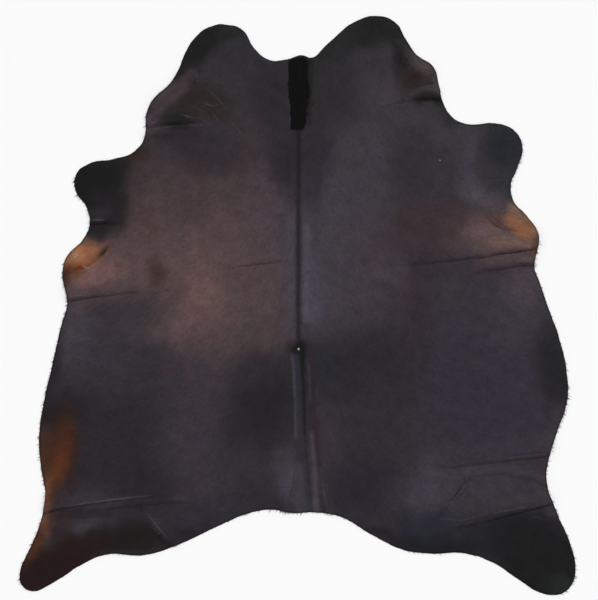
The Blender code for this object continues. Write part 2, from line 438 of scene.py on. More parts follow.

# %% [markdown]
# ## The folds
#
# A skin dries over a frame and never lies quite flat again. Where the legs and the neck were, it
# is left with buckles: a slope that rises gently from the neck side and drops off quickly on the
# tail side. The solid model has the main ones, and they are repeated here with a quicker drop,
# because this mesh is fine enough to hold it. Each runs from its left end to its right one, bowed
# towards the neck. Lengths are in centimetres, and rises over the floor in millimetres. The last
# column says how dark a line of painted shade the hair gets at the foot of the drop.

# %% The main folds
Fold = namedtuple("Fold", "name left right bow soft sharp left_rise right_rise line")
FOLDS = [
    Fold("left side of the neck, roll", (-54.0, 73.6), (-38.6, 84.8), 1.2, 7.0, 4.0, 7.0, 4.0, 0.0),
    Fold("left shoulder, upper", (-55.0, 66.6), (-40.5, 67.4), 0.4, 5.5, 1.6, 6.5, 1.5, 0.7),
    Fold("left shoulder, lower", (-57.5, 61.6), (-46.5, 63.8), 0.6, 3.0, 2.4, 5.0, 1.0, 0.4),
    Fold("right side of the neck, roll", (38.0, 93.2), (48.0, 85.4), -0.8, 6.0, 4.5, 5.0, 6.0, 0.0),
    Fold("right side of the neck, fold", (40.5, 76.0), (53.6, 76.8), 0.3, 4.6, 1.6, 1.5, 6.0, 0.6),
    Fold("left foreleg", (-77.0, 30.4), (-66.5, 30.2), 0.5, 6.0, 1.4, 7.0, 1.5, 1.1),
    Fold("left elbow", (-79.5, 14.7), (-69.0, 23.7), -0.8, 8.0, 1.9, 8.5, 3.0, 0.5),
    Fold("left flank", (-85.5, 2.1), (-52.0, 5.5), 0.9, 9.0, 1.4, 9.0, 1.5, 0.8),
    Fold("right elbow, kink", (69.5, 34.6), (78.0, 28.2), -1.0, 7.0, 1.6, 2.0, 6.0, 1.0),
    Fold("right elbow, lower", (63.0, 23.4), (89.0, 25.0), 0.4, 5.0, 1.4, 1.0, 4.5, 0.6),
    Fold("right flank, upper", (38.0, 15.4), (89.0, 21.9), -0.4, 9.0, 1.5, 1.0, 10.0, 0.9),
    Fold("right flank, lower", (66.0, 12.4), (88.0, 15.9), 0.4, 3.2, 1.3, 1.5, 6.0, 1.4),
    Fold("middle of the left side", (-27.0, 13.8), (-7.5, 16.5), 0.3, 6.0, 1.1, 1.5, 3.0, 0.2),
    Fold("left hind leg, upper", (-93.5, -75.6), (-51.0, -70.2), 1.2, 8.0, 1.5, 8.0, 2.0, 0.9),
    Fold("left hind leg, middle", (-70.0, -74.6), (-42.7, -72.0), 0.4, 2.6, 1.3, 3.0, 3.0, 0.8),
    Fold("left hind leg, lower", (-88.0, -82.6), (-69.0, -82.4), 1.0, 4.5, 3.6, 5.0, 3.0, 0.3),
    Fold("left hind leg, across", (-56.0, -76.6), (-45.4, -88.6), -0.8, 4.5, 1.8, 2.5, 5.0, 0.4),
    Fold("right hind leg, first", (55.2, -59.2), (93.5, -54.9), 0.2, 8.0, 1.4, 2.0, 8.0, 0.5),
    Fold("right hind leg, second", (62.0, -63.0), (92.5, -66.4), 2.8, 3.2, 1.5, 1.5, 3.6, 0.5),
    Fold("right hind leg, across", (54.0, -74.6), (62.6, -63.4), 0.6, 4.5, 1.6, 3.0, 4.5, 0.6),
    Fold("right hind leg, third", (61.1, -81.1), (94.6, -72.2), 0.2, 6.5, 1.5, 2.5, 8.5, 0.8),
    Fold("rump, left of the tail", (-3.9, -76.0), (-1.2, -64.0), 0.3, 3.0, 1.6, 4.0, 1.5, 0.8),
    Fold("rump, right of the tail", (6.6, -62.2), (11.2, -77.0), 0.4, 3.2, 1.6, 1.5, 4.5, 0.3),
]
BLEND = 3.0  # how closely two folds that meet take the height of the higher one
CREST_COUNT = 25  # points along a crest


def crest_line(fold):
    """A fold's crest as a bowed line of points."""
    left, right = on_hide([fold.left, fold.right])
    run = right - left
    side = np.array([-run[1], run[0]]) / np.linalg.norm(run)
    t = np.linspace(0.0, 1.0, CREST_COUNT)[:, None]
    return left + t * run + 4.0 * t * (1.0 - t) * fold.bow * CM * side


CRESTS = [crest_line(fold) for fold in FOLDS]
print(len(FOLDS), "main folds, the highest rising", max(fold.right_rise for fold in FOLDS), "mm")

# %% [markdown]
# ## The fine creases
#
# Between the folds lie creases that only the coat shows: shallow lines where the skin was bent
# once, small scratches where hair is brushed aside, and the ridges next to them. Each is a soft
# ridge, where its rise is above 0, or a soft trough. Its shade is painted into the hair's colour
# along it: painted shade from -1 to 0, or a painted highlight from 0 to 1.

# %% The fine creases
Crease = namedtuple("Crease", "name marks rise wide shade")
CREASES = [
    Crease("left neck, kink", [(-36.1, 87.2), (-35.9, 82.6)], -0.7, 0.45, -0.7),
    Crease("left neck, curve", [(-21.7, 65.1), (-19.9, 64.0), (-18.8, 61.5)], -0.5, 0.5, -0.5),
    Crease("left shoulder, scratch", [(-44.2, 70.7), (-38.3, 68.4)], 0.3, 0.4, 0.4),
    Crease("left shoulder, dark fold", [(-52.5, 68.0), (-42.5, 69.0)], -0.5, 0.8, -0.3),
    Crease("left shoulder, long scratch", [(-33.8, 80.4), (-29.4, 76.0), (-24.6, 70.6)], 0.2, 0.3, 0.5),
    Crease("left shoulder, side scratch", [(-36.8, 74.6), (-30.6, 73.4), (-26.8, 74.8)], 0.2, 0.3, 0.4),
    Crease("left shoulder, short scratch", [(-31.6, 71.2), (-28.4, 66.8)], 0.2, 0.3, 0.45),
    Crease("left shoulder, hook", [(-26.6, 68.6), (-22.8, 66.4), (-20.4, 61.2)], 0.2, 0.3, 0.35),
    Crease("left shoulder, pale ridge", [(-54.5, 64.4), (-48.6, 65.7), (-30.2, 66.6)], 0.7, 0.6, 0.4),
    Crease("left shoulder, top scratch", [(-32.0, 82.8), (-28.6, 82.0), (-24.7, 80.0)], 0.2, 0.3, 0.3),
    Crease("left shoulder, speckled", [(-35.0, 75.6), (-32.6, 73.8), (-30.6, 73.0)], 0.2, 0.3, 0.5),
    Crease("left shoulder, short fold", [(-42.3, 69.9), (-36.8, 68.6)], 0.2, 0.3, 0.5),
    Crease("left shoulder, fleck", [(-37.4, 82.7), (-36.2, 82.1)], 0.2, 0.3, 0.7),
    Crease("right neck, kink", [(38.0, 93.8), (37.8, 89.8), (36.8, 87.2)], -0.9, 0.8, -0.6),
    Crease("right neck, thin fold", [(42.3, 79.7), (46.2, 80.8), (52.0, 82.0)], -0.6, 0.42, -0.8),
    Crease("right neck, scratch", [(31.6, 71.0), (34.2, 74.0), (37.9, 74.3), (43.0, 75.7)], -0.4, 0.4, -0.4),
    Crease("right neck, pale scratch", [(40.8, 77.0), (42.9, 77.9)], 0.3, 0.3, 0.6),
    Crease("right foreleg, line", [(70.3, 46.6), (76.4, 47.0)], -0.5, 0.35, -0.5),
    Crease("left foreleg, pale edge", [(-76.0, 31.3), (-70.6, 31.2)], 0.5, 0.45, 0.8),
    Crease("left foreleg, shade", [(-76.0, 29.9), (-71.0, 30.3), (-65.0, 30.5)], -0.5, 0.6, -0.5),
    Crease("left elbow, line", [(-74.0, 13.4), (-65.0, 15.6)], 0.3, 0.4, 0.25),
    Crease("left flank, above", [(-83.5, 6.5), (-77.0, 6.0)], 0.4, 0.5, 0.3),
    Crease("left side, branch", [(-16.6, 15.8), (-9.9, 20.2)], -0.4, 0.4, -0.25),
    Crease("left side, thin line", [(-22.8, 13.7), (-16.2, 14.8), (-8.4, 15.5)], -0.5, 0.32, -0.7),
    Crease("left side, faint", [(-26.9, -7.4), (-18.0, -3.7)], -0.3, 0.5, -0.2),
    Crease("left of the spine", [(-4.8, 10.9), (-6.6, -0.4)], -0.2, 0.9, -0.25),
    Crease("right of the spine, dash", [(2.2, 11.6), (4.8, 11.6)], -0.3, 0.25, -0.4),
    Crease("left of the spine, dash", [(-2.9, 11.6), (-1.6, 11.6)], -0.2, 0.2, -0.3),
    Crease("left elbow, dark tip", [(-69.2, 22.1), (-71.0, 19.5), (-74.0, 17.5)], -0.6, 0.5, -0.8),
    Crease("left elbow, foot line", [(-73.4, 17.8), (-77.0, 14.8), (-79.5, 12.4)], -0.4, 0.45, -0.35),
    Crease("right elbow, pale edge", [(74.3, 33.1), (79.1, 36.8)], 0.6, 0.6, 0.4),
    Crease("right elbow, dark kink", [(71.0, 32.8), (74.3, 30.6), (77.5, 27.8)], -0.8, 0.42, -0.8),
    Crease("right elbow, nick", [(80.6, 31.3), (84.3, 32.0)], -0.5, 0.3, -0.6),
    Crease("right flank, upper line", [(79.6, 14.8), (88.0, 15.9)], -0.5, 0.32, -0.9),
    Crease("right flank, pale line", [(81.7, 12.9), (87.2, 12.9)], 0.4, 0.4, 0.4),
    Crease("right hind leg, line", [(72.8, -56.6), (81.0, -55.3), (93.0, -54.0)], -0.6, 0.36, -0.6),
    Crease("right hind leg, faint", [(66.6, -63.3), (85.0, -61.1), (92.4, -60.2)], -0.4, 0.4, -0.25),
    Crease("right hind leg, slant", [(62.3, -63.6), (60.0, -68.0), (55.2, -73.6)], -0.6, 0.35, -0.55),
    Crease("right hind leg, second slant", [(64.0, -64.8), (61.6, -68.8), (57.4, -72.8)], -0.5, 0.35, -0.5),
    Crease("right hind leg, sharp", [(74.7, -78.4), (82.1, -76.7), (92.7, -73.8)], -0.7, 0.4, -0.6),
    Crease("right hind leg, pale line", [(49.0, -78.5), (61.0, -79.4), (71.0, -76.8)], 0.5, 0.36, 0.4),
    Crease("right hind leg, pale rise", [(71.0, -76.8), (84.6, -74.3)], 0.5, 0.36, 0.5),
    Crease("right hind leg, short ridge", [(61.5, -81.0), (65.5, -79.5)], 0.6, 0.5, 0.3),
    Crease("right hind leg, pale", [(85.7, -78.0), (91.3, -79.1)], 0.5, 0.6, 0.3),
    Crease("left hind leg, faint", [(-85.4, -79.1), (-61.5, -77.3)], -0.4, 0.5, -0.25),
    Crease("left hind leg, band", [(-84.6, -67.3), (-59.6, -67.3)], 0.4, 1.0, 0.15),
    Crease("left hind leg, pale line", [(-86.0, -74.2), (-70.0, -71.9), (-53.0, -69.9)], 0.4, 0.46, 0.9),
    Crease("left hind leg, second pale", [(-79.0, -75.3), (-64.0, -73.5)], 0.3, 0.34, 0.6),
    Crease("left hind leg, pale slant", [(-57.4, -74.8), (-51.7, -81.2), (-46.7, -87.0)], 0.6, 0.4, 0.6),
    Crease("left hind leg, faint slant", [(-57.8, -77.0), (-54.2, -81.6), (-50.4, -85.2)], 0.3, 0.4, 0.3),
    Crease("left hind leg, short", [(-87.4, -70.7), (-86.1, -73.6)], 0.4, 0.3, 0.5),
    Crease("left hind leg, nick", [(-93.1, -74.7), (-90.9, -74.7)], -0.6, 0.3, -0.7),
    Crease("right hind leg, dark end", [(86.5, -76.4), (91.0, -78.0), (95.6, -79.0)], -0.5, 0.4, -0.5),
    Crease("rump, dark slant", [(-0.7, -62.6), (-3.7, -74.3)], -0.6, 0.5, -0.6),
    Crease("rump, pale slant", [(-1.1, -58.9), (-2.6, -65.5)], 0.5, 0.5, 0.5),
    Crease("rump, pale line", [(8.8, -61.5), (10.7, -74.0)], 0.5, 0.3, 0.4),
]
Ripple = namedtuple("Ripple", "name middle half rows apart slant rise shade")
RIPPLES = [
    Ripple("left side", (-42.5, 13.4), 5.6, 5, 1.1, 0.06, -0.35, -0.32),
    Ripple("left elbow, fan", (-69.5, 14.6), 4.6, 4, 1.0, 0.16, 0.35, 0.3),
    Ripple("left flank", (-80.0, 4.6), 4.2, 3, 1.1, 0.04, 0.3, 0.22),
    Ripple("right elbow", (73.0, 24.5), 6.5, 4, 1.5, 0.03, -0.35, -0.25),
    Ripple("right flank", (72.0, 16.2), 7.0, 3, 1.2, 0.08, -0.3, -0.25),
    Ripple("left shoulder", (-35.5, 70.2), 4.4, 4, 1.3, -0.45, 0.25, 0.4),
    Ripple("right neck", (33.5, 73.8), 4.4, 4, 1.2, 0.45, -0.3, -0.25),
    Ripple("left hind leg", (-72.0, -76.6), 9.0, 4, 1.3, 0.09, -0.35, -0.25),
    Ripple("right hind leg", (80.0, -61.5), 8.0, 4, 1.4, 0.1, -0.35, -0.28),
    Ripple("above the rump", (-16.0, -58.0), 5.0, 3, 1.6, 0.02, -0.2, -0.15),
]
RIPPLE_WIDE = 0.36
RIPPLE_SHIFT = 0.25  # how unevenly the rows lie, as a share of the gap between two
RIPPLE_SLIDE = 0.35
RIPPLE_SHORT = 0.5  # the shortest row, as a share of the longest
RIPPLE_SLANT = 0.05


def ripple_creases(ripple, chance):
    """A ripple is a handful of short creases side by side, no two alike."""
    made = []
    for row in range(ripple.rows):
        shift = (row - (ripple.rows - 1) / 2 + chance.uniform(-RIPPLE_SHIFT, RIPPLE_SHIFT)) * ripple.apart
        slide = chance.uniform(-RIPPLE_SLIDE, RIPPLE_SLIDE) * ripple.half
        half = ripple.half * chance.uniform(RIPPLE_SHORT, 1.0)
        slant = ripple.slant + chance.uniform(-RIPPLE_SLANT, RIPPLE_SLANT)
        across = ripple.middle[0] + slide
        along = ripple.middle[1] + shift + slide * slant
        marks = [(across - half, along - half * slant), (across + half, along + half * slant)]
        made.append(Crease(ripple.name, marks, ripple.rise, RIPPLE_WIDE, ripple.shade))
    return made


RIPPLE_CHANCE = np.random.default_rng(5)
for ripple in RIPPLES:
    CREASES += ripple_creases(ripple, RIPPLE_CHANCE)
CREASE_COUNT = 17  # points along a crease
CREASE_LINES = [smooth_line(crease.marks, CREASE_COUNT) for crease in CREASES]
print(len(CREASES), "fine creases")

# %% [markdown]
# ## How high the skin lies
#
# Two fields come out of the tables. `lift` is the height of the flesh side over the floor, so the
# leather and the coat share it. `relief` is what only the coat's surface adds: the creases, a
# shallow groove along the spine and the slow swells of hair that lies thicker in one place than
# in another. A third, `painted_crease_shade`, goes to the material: painted shade at the foot of
# each fold and along dark creases, and painted light on crests, above folds and on pale creases.
# The fold lines are bent a little by waves first, since no real crease is an arc.

# %% Height and shade of any point
CREASE_REACH = 3.0  # how far a crease is felt, in its own widths
SHADE_WIDE = 0.7  # its painted shade is narrower than its shape
TAPER = 0.6  # below 1, so that it keeps its strength until near its ends
FOLD_BEND = 1.3 * MM
FOLD_BEND_SIZE = 0.09
FOOT = 0.8  # of the sharp width, where the painted shade under a crest is darkest
FOOT_WIDE = 0.17  # of the sharp width
FOOT_SHADE = 0.13  # for each millimetre of rise
CROWN_WIDE = 0.5  # of the sharp width, how far the painted highlight on the crest reaches
CREST_HIGHLIGHT = 0.03
STEP_SHADE = 0.010  # painted light above the crest and painted shade below it
STEP_WIDE = 18.0 * MM
STEP_START = 0.3  # of the sharp width
END_FADE = 0.3  # of a fold's length
AT_RIM = 25.0 * MM
SWELL = 0.22 * MM
SWELL_SIZE = 0.07
PARTING = [
    (0.7, 92.0), (0.4, 72.0), (0.4, -13.0), (1.8, -20.0), (2.6, -35.0), (2.9, -50.0), (3.6, -57.0),
    (4.4, -72.0), (4.8, -78.0),
]
PARTING_DEEP = 0.5 * MM
PARTING_WIDE = 5.0 * MM
PARTING_TOP = 0.66


def bent(points):
    """Points moved a little, so that lines measured at them come out uneven."""
    across = waves(points, FOLD_BEND_SIZE, 11)
    along = waves(points, FOLD_BEND_SIZE, 12)
    return points + FOLD_BEND * np.stack([across, along], 1)


def unbent(points):
    """Where points have to lie so that bending brings them here."""
    moved = points
    for _ in range(2):
        moved = moved + points - bent(moved)
    return moved


def fade_of(line, place_on):
    """1 along a fold, easing to 0 at each end that lies inside the hide."""
    fade = np.ones(len(place_on))
    for end, far in ((line[0], place_on), (line[-1], 1.0 - place_on)):
        if np.linalg.norm(LOOP - end, axis=1).min() > AT_RIM:
            fade *= (far / END_FADE).clip(0.0, 1.0)
    return fade


def near(points, line, reach):
    """Which points lie in a line's box, grown by its reach."""
    return ((points > line.min(0) - reach) & (points < line.max(0) + reach)).all(1)


def bump(far):
    """1 on a crest, falling smoothly to 0 where far reaches 1."""
    return 0.5 + 0.5 * np.cos(np.pi * far.clip(0.0, 1.0))


def taper(place_on):
    """A crease fades towards both ends."""
    return (4.0 * place_on * (1.0 - place_on)) ** TAPER


def near_folds(points):
    """Each fold with the points in its reach: their gap, place and side, and the rise there."""
    moved = bent(points)
    for fold, crest in zip(FOLDS, CRESTS):
        close = near(moved, crest, fold.soft * CM)
        gap, place_on, side = nearest_on(moved[close], crest)
        rise = fold.left_rise + (fold.right_rise - fold.left_rise) * place_on
        yield fold, crest, close, gap, place_on, side, rise


def near_creases(points):
    """Each crease with the points in its reach, their gap and its strength there."""
    moved = bent(points)
    for crease, line in zip(CREASES, CREASE_LINES):
        close = near(moved, line, CREASE_REACH * crease.wide * CM)
        gap, place_on, _ = nearest_on(moved[close], line)
        yield crease, close, gap, taper(place_on)


def lift(points):
    """The flesh side's height over the floor."""
    total = np.zeros(len(points))
    for fold, _, close, gap, _, side, rise in near_folds(points):
        width = np.where(side > 0.0, fold.soft, fold.sharp) * CM
        total[close] += (rise * MM * bump(gap / width)) ** BLEND
    return total ** (1.0 / BLEND)


def parting_gap(points):
    """How far to the right of the spine's parting each point lies."""
    marks = on_hide(PARTING)[::-1]
    return points[:, 0] - np.interp(points[:, 1], marks[:, 1], marks[:, 0])


def relief(points):
    """What the coat's surface adds to the height."""
    total = SWELL * waves(points, SWELL_SIZE, 21)
    for crease, close, gap, strength in near_creases(points):
        total[close] += crease.rise * MM * strength * np.exp(-((gap / (crease.wide * CM)) ** 2))
    groove = np.exp(-((parting_gap(points) / PARTING_WIDE) ** 2)) * (points[:, 1] < PARTING_TOP)
    return total - PARTING_DEEP * groove


def painted_crease_shade(points):
    """The painted shade (below 0) and painted highlight (above 0) on the hair at folds and creases."""
    total = np.zeros(len(points))
    for fold, crest, close, gap, place_on, side, rise in near_folds(points):
        sharp = fold.sharp * CM
        foot = np.where(side < 0.0, np.exp(-(((gap / sharp - FOOT) / FOOT_WIDE) ** 2)), 0.0)
        crown = np.exp(-((gap / (CROWN_WIDE * sharp)) ** 2))
        step = np.sign(side) * np.exp(-gap / STEP_WIDE) * (1.0 - np.exp(-gap / (STEP_START * sharp)))
        # painted highlight on the crest, painted shade at the foot, painted light above and shade below
        shade = CREST_HIGHLIGHT * crown - fold.line * FOOT_SHADE * foot + STEP_SHADE * step
        total[close] += rise * shade * fade_of(crest, place_on)
    for crease, close, gap, strength in near_creases(points):
        wide = SHADE_WIDE * crease.wide * CM
        # a crease's painted shade or painted highlight along it
        total[close] += crease.shade * strength * np.exp(-((gap / wide) ** 2))
    return total.clip(-1.0, 1.0)


print("the skin rises to", round(lift(LOOP).max() * 1000, 1), "mm at the rim")

# %% [markdown]
# ## Points on the skin
#
# Both sheets are cut the same way: points are strewn between the rim and joined by Delaunay
# triangles, the evenest that such points allow. Rows of points follow the folds, the creases and
# the spine, a close lattice fills the slopes beside them, and a wider one the flat skin, so the
# triangles go where the shape is.

# %% Strewing the points
ROW_SHARES = (-1.6, -1.15, -0.95, -0.8, -0.65, -0.4, 0.0, 0.5)  # rows beside a fold, in sharp widths
CREASE_SHARES = (-1.6, -0.8, 0.0, 0.8, 1.6)  # rows beside a crease, in its own widths
SPINE_SHIFTS = (-12.0, -6.0, -3.0, 0.0, 3.0, 6.0, 12.0)  # rows beside the parting, in millimetres
SPINE_COUNT = 200  # points along the parting
SLOPED = 0.1 * MM  # skin that lies higher than this is meshed as a slope
CLEAR = 0.55  # how far points keep apart, in steps of the lattice
ROW_CLEAR = 0.35  # the same for points in rows


def beside(line, gap):
    """A line beside another, on its left where the gap is above 0."""
    runs = np.gradient(line, axis=0)
    side = np.stack([-runs[:, 1], runs[:, 0]], 1)
    return line + gap * side / np.linalg.norm(side, axis=1, keepdims=True)


def lattice(step):
    """A sheet of points in staggered rows over the whole hide."""
    span = LOOP.max(0) - LOOP.min(0)
    rise = step * 0.75**0.5
    count = (int(span[1] / rise) + 2, int(span[0] / step) + 2)
    row, column = np.indices(count)
    across = LOOP[:, 0].min() + (column + 0.5 * (row % 2)) * step
    along = LOOP[:, 1].min() + row * rise
    return np.stack([across.ravel(), along.ravel()], 1)


def apart_from(points, others, gap):
    """The points that keep this gap from all the others."""
    tree = KDTree(len(others))
    for i, other in enumerate(others):
        tree.insert((*other, 0.0), i)
    tree.balance()
    return np.array([point for point in points if tree.find((*point, 0.0))[2] > gap])


def thinned(points, gap):
    """The points, less those too close to an earlier one."""
    cells = {}
    kept = []
    for point in points:
        column, row = (point // gap).astype(int)
        around = [cells.get((column + i, row + j)) for i in (-1, 0, 1) for j in (-1, 0, 1)]
        if all(other is None or ((point - other) ** 2).sum() > gap * gap for other in around):
            cells[column, row] = point
            kept.append(point)
    return np.array(kept)


def strewn(rim, flat_step, fine_step):
    """Points between the rim: rows on the folds, close ones beside them, wide ones elsewhere."""
    rows = [beside(smooth_line(PARTING[1:], SPINE_COUNT), shift * MM) for shift in SPINE_SHIFTS]
    for line, crease in zip(CREASE_LINES, CREASES):
        rows += [beside(line, share * crease.wide * CM) for share in CREASE_SHARES]
    for crest, fold in zip(CRESTS, FOLDS):
        rows += [beside(crest, share * fold.sharp * CM) for share in ROW_SHARES]
    ridges = unbent(np.vstack([along_line(row, fine_step) for row in rows]))
    ridges = thinned(ridges[inside(ridges, rim)], ROW_CLEAR * fine_step)
    fine = lattice(fine_step)
    close = lift(fine) > SLOPED
    for line, crease in zip(CREASE_LINES, CREASES):
        reach = CREASE_REACH * crease.wide * CM
        box = near(fine, line, reach)
        close[box] |= nearest_on(fine[box], line)[0] < reach
    fine = fine[close]
    fine = fine[inside(fine, rim)]
    fine = apart_from(fine, ridges, CLEAR * fine_step)
    wide = lattice(flat_step)
    wide = wide[inside(wide, rim)]
    wide = apart_from(wide, np.vstack([ridges, fine]), CLEAR * flat_step)
    inner = np.vstack([ridges, fine, wide])
    return apart_from(inner, rim, CLEAR * fine_step)


print("a lattice at one centimetre has", len(lattice(CM)), "points")


# %% [markdown]
# ## Closing a thin sheet
#
# A sheet of hide is an upper face, a lower face and the rim between them. The rim is a stack of
# rings, each the outline shifted by its own amount at its own height, so one list of rings rounds
# an edge, hangs hair over it or cuts it square. Solidify would give every face the same fineness.
# Here the hidden face can be coarse, which halves the triangles.

# %% Sheets from rings
RIM_STEP = 6.5 * MM
RIM_WANDER = 0.9 * MM
RIM_WAVES = [(0.6, 0.05, 32), (0.4, 0.018, 33)]  # share, size, seed
INSIDE_ONLY = 1  # keeps the triangles inside the ring
SAME_POINT = 1e-7
BAKE_EDGE = 0.01  # free margin of the flat layout
HIDDEN_SCALE = 0.18  # how small the hidden face is drawn there


def wandering_rim():
    """The outline at even steps, wandering by a share of a millimetre or two."""
    rim = along_line(LOOP, RIM_STEP, closed=True)
    far = sum(share * waves(rim, size, seed) for share, size, seed in RIM_WAVES)
    return rim + RIM_WANDER * far[:, None] * outwards(rim)


RIM = wandering_rim()
print("the rim has", len(RIM), "points")


def cap(ring, inner, flip):
    """Triangles between a ring and the points inside it, numbered from the ring's first point."""
    flat = np.vstack([ring, inner])
    corners = [Vector(point) for point in flat]
    cut = delaunay_2d_cdt(corners, [], [list(range(len(ring)))], INSIDE_ONLY, SAME_POINT)
    numbers = [min(source) for source in cut[3]]
    faces = [[numbers[i] for i in face] for face in cut[2]]
    return [face[::-1] for face in faces] if flip else faces


def lay_out(mesh, places, hidden=None, hidden_places=None):
    """Lays a mesh out flat for its picture. Hidden corners go small into the free upper left."""
    low = places.min(0)
    span = (places.max(0) - low).max() / (1.0 - 2.0 * BAKE_EDGE)
    corner = np.zeros(len(mesh.loops), int)
    mesh.loops.foreach_get("vertex_index", corner)
    spots = BAKE_EDGE + (places[corner] - low) / span
    if hidden is not None:
        small = (hidden_places[corner[hidden]] - low) / span * HIDDEN_SCALE
        spots[hidden] = small + (BAKE_EDGE, 1.0 - BAKE_EDGE - HIDDEN_SCALE)
    mesh.uv_layers.new(name="OFBake").data.foreach_set("uv", spots.ravel())


def closed_sheet(name, rings, upper, lower, surface, upper_shows):
    """A closed sheet. Rings are (shift, height) from the upper face's edge to the lower one's."""
    out = outwards(RIM)
    count = len(RIM)
    loops = [RIM + shift * out for shift, _ in rings]
    flat = np.vstack([*loops, upper, lower])
    height = np.concatenate([np.full(count, tall) for _, tall in rings])
    height = np.concatenate([height, np.full(len(upper), rings[0][1]), np.full(len(lower), rings[-1][1])])
    level = lift(flat) + height
    inner_start = count * len(rings)
    shown = np.r_[0:count, inner_start:inner_start + len(upper)]
    level[shown] += surface(flat[shown])
    faces = []
    for i in range(0, inner_start - count, count):
        for j in range(count):
            k = (j + 1) % count
            faces.append([i + j, i + k, i + count + k, i + count + j])
    bands = len(faces)
    for ring, inner, first, begin, flip in (
        (loops[0], upper, 0, inner_start, False),
        (loops[-1], lower, inner_start - count, inner_start + len(upper), True),
    ):
        cut = cap(ring, inner, flip)
        faces += [[first + i if i < count else begin + i - count for i in face] for face in cut]
        if not flip:
            tops = len(faces)
    mesh = bpy.data.meshes.new(name)
    mesh.from_pydata(np.column_stack([flat, level]).tolist(), [], faces)
    mesh.shade_smooth()
    mesh.update()
    steps = np.linalg.norm(np.diff(np.array(rings), axis=0), axis=1)
    unrolled = np.concatenate([[0.0], np.cumsum(steps)])
    if not upper_shows:
        unrolled = unrolled[-1] - unrolled
    places = flat.copy()
    for i, far in enumerate(unrolled):
        places[i * count:(i + 1) * count] = loops[0 if upper_shows else -1] + far * out
    sizes = np.array([len(face) for face in faces])
    starts = np.concatenate([[0], np.cumsum(sizes)])
    hidden = slice(starts[tops], starts[-1]) if upper_shows else slice(starts[bands], starts[tops])
    lay_out(mesh, places, hidden, flat)
    print(f"{name}: {(sizes - 2).sum()} triangles, {len(flat)} points")
    return place(name, mesh)


# %% [markdown]
# ## The leather
#
# The tanned skin under the hair is a sheet of even thickness. Only its cut edge and its flesh side
# can be seen, from the side and from below, so the finer face is the lower one. Its edge is cut
# square, with a slight round where the knife left it.

# %% The leather sheet
LEATHER = 1.8 * MM
SUNK = 1.0 * MM  # how far its upper face stays under the coat's
LEATHER_INSET = 6.0 * MM  # the rings take this much of the edge
LEATHER_UPPER = (0.05, 0.010)  # steps between points, where the skin is flat and where it isn't
LEATHER_LOWER = (0.022, 0.009)
LEATHER_RINGS = [
    (-1.5 * MM, LEATHER), (0.0, LEATHER - 0.2 * MM), (0.25 * MM, 0.9 * MM), (0.0, 0.1 * MM),
    (-0.8 * MM, 0.0),
]


def sunk_surface(points):
    """The hidden face keeps clear of the coat above it, also where its triangles are coarse."""
    return np.full(len(points), -SUNK)


def make_leather():
    inside_rim = RIM - LEATHER_INSET * outwards(RIM)
    upper = strewn(inside_rim, *LEATHER_UPPER)
    lower = strewn(inside_rim, *LEATHER_LOWER)
    return closed_sheet("hide_leather", LEATHER_RINGS, upper, lower, sunk_surface, False)


leather = make_leather()

# %% [markdown]
# ## The coat
#
# The short hair lies on the leather like a second sheet, about a millimetre thick, and hangs a
# little over the cut edge. Its upper face is the finest mesh of the hide. Every point of it also
# carries what the hair does there: which way it lies, how far it is from the parting on the
# spine, and how much painted shade or painted highlight it gets at a crease.

# %% Which way the hair lies
SPINE_SLOPE = 2.75  # rearwards for each metre outwards
FLANK_SLOPE = 0.47
SLOPE_EASE = 0.25  # metres from the parting over which one becomes the other
SWAY = 0.18
SWAY_SIZE = 0.35
SWAY_SEED = 41
COMB_WAVES = [(0.012, SWAY_SIZE, SWAY_SEED), (0.004, 0.12, 42)]  # share, size, seed
COMB_RUN = (0.8, -0.6)  # a step along the hair, outwards and towards the neck


def lie_of(points):
    """Unit directions in which the hair points: rearwards at the spine, outwards at the flanks."""
    across = parting_gap(points)
    slope = FLANK_SLOPE + (SPINE_SLOPE - FLANK_SLOPE) * np.exp(-np.abs(across) / SLOPE_EASE)
    sway = SWAY * waves(points, SWAY_SIZE, SWAY_SEED)
    run = np.stack([np.sign(across) + sway, -slope], 1)
    return run / np.linalg.norm(run, axis=1, keepdims=True)


def combed(points):
    """Coordinates across and along the hair, for streaks that follow it."""
    away = np.abs(parting_gap(points))
    ease = SLOPE_EASE * (1.0 - np.exp(-away / SLOPE_EASE))
    across = points[:, 1] + FLANK_SLOPE * away + (SPINE_SLOPE - FLANK_SLOPE) * ease
    across += sum(share * waves(points, size, seed) for share, size, seed in COMB_WAVES)
    along = COMB_RUN[0] * away + COMB_RUN[1] * points[:, 1]
    return np.column_stack([across, along, np.zeros(len(points))])


COAT = 1.2 * MM
COAT_TOP = LEATHER + COAT
COAT_RINGS = [
    (-7.0 * MM, COAT_TOP), (-3.5 * MM, COAT_TOP - 0.15 * MM), (-1.2 * MM, COAT_TOP - 0.5 * MM),
    (0.6 * MM, COAT_TOP - 1.2 * MM), (1.1 * MM, COAT_TOP - 2.0 * MM), (0.45 * MM, 0.5 * MM),
    (0.4 * MM, LEATHER + 0.05 * MM), (-2.0 * MM, LEATHER + 0.05 * MM),
]
COAT_EDGE_SHADE = (0.0, 0.3, 0.9, 1.0, 1.0, 1.0, 1.0, 1.0)  # how much painted shade the hair gets on each ring
COAT_INSETS = (11.0 * MM, 7.0 * MM)  # of the upper and the lower face
COAT_UPPER = (0.0095, 0.0055)  # steps, as for the leather
COAT_LOWER = (0.05, 0.012)
FACES_UP = 0.5  # hair grows where the surface points up more than this


def give(mesh, name, kind, values):
    """Stores one value for each point of a mesh."""
    field = "value" if kind == "FLOAT" else "vector"
    mesh.attributes.new(name, kind, "POINT").data.foreach_set(field, np.ravel(values).astype(np.float32))


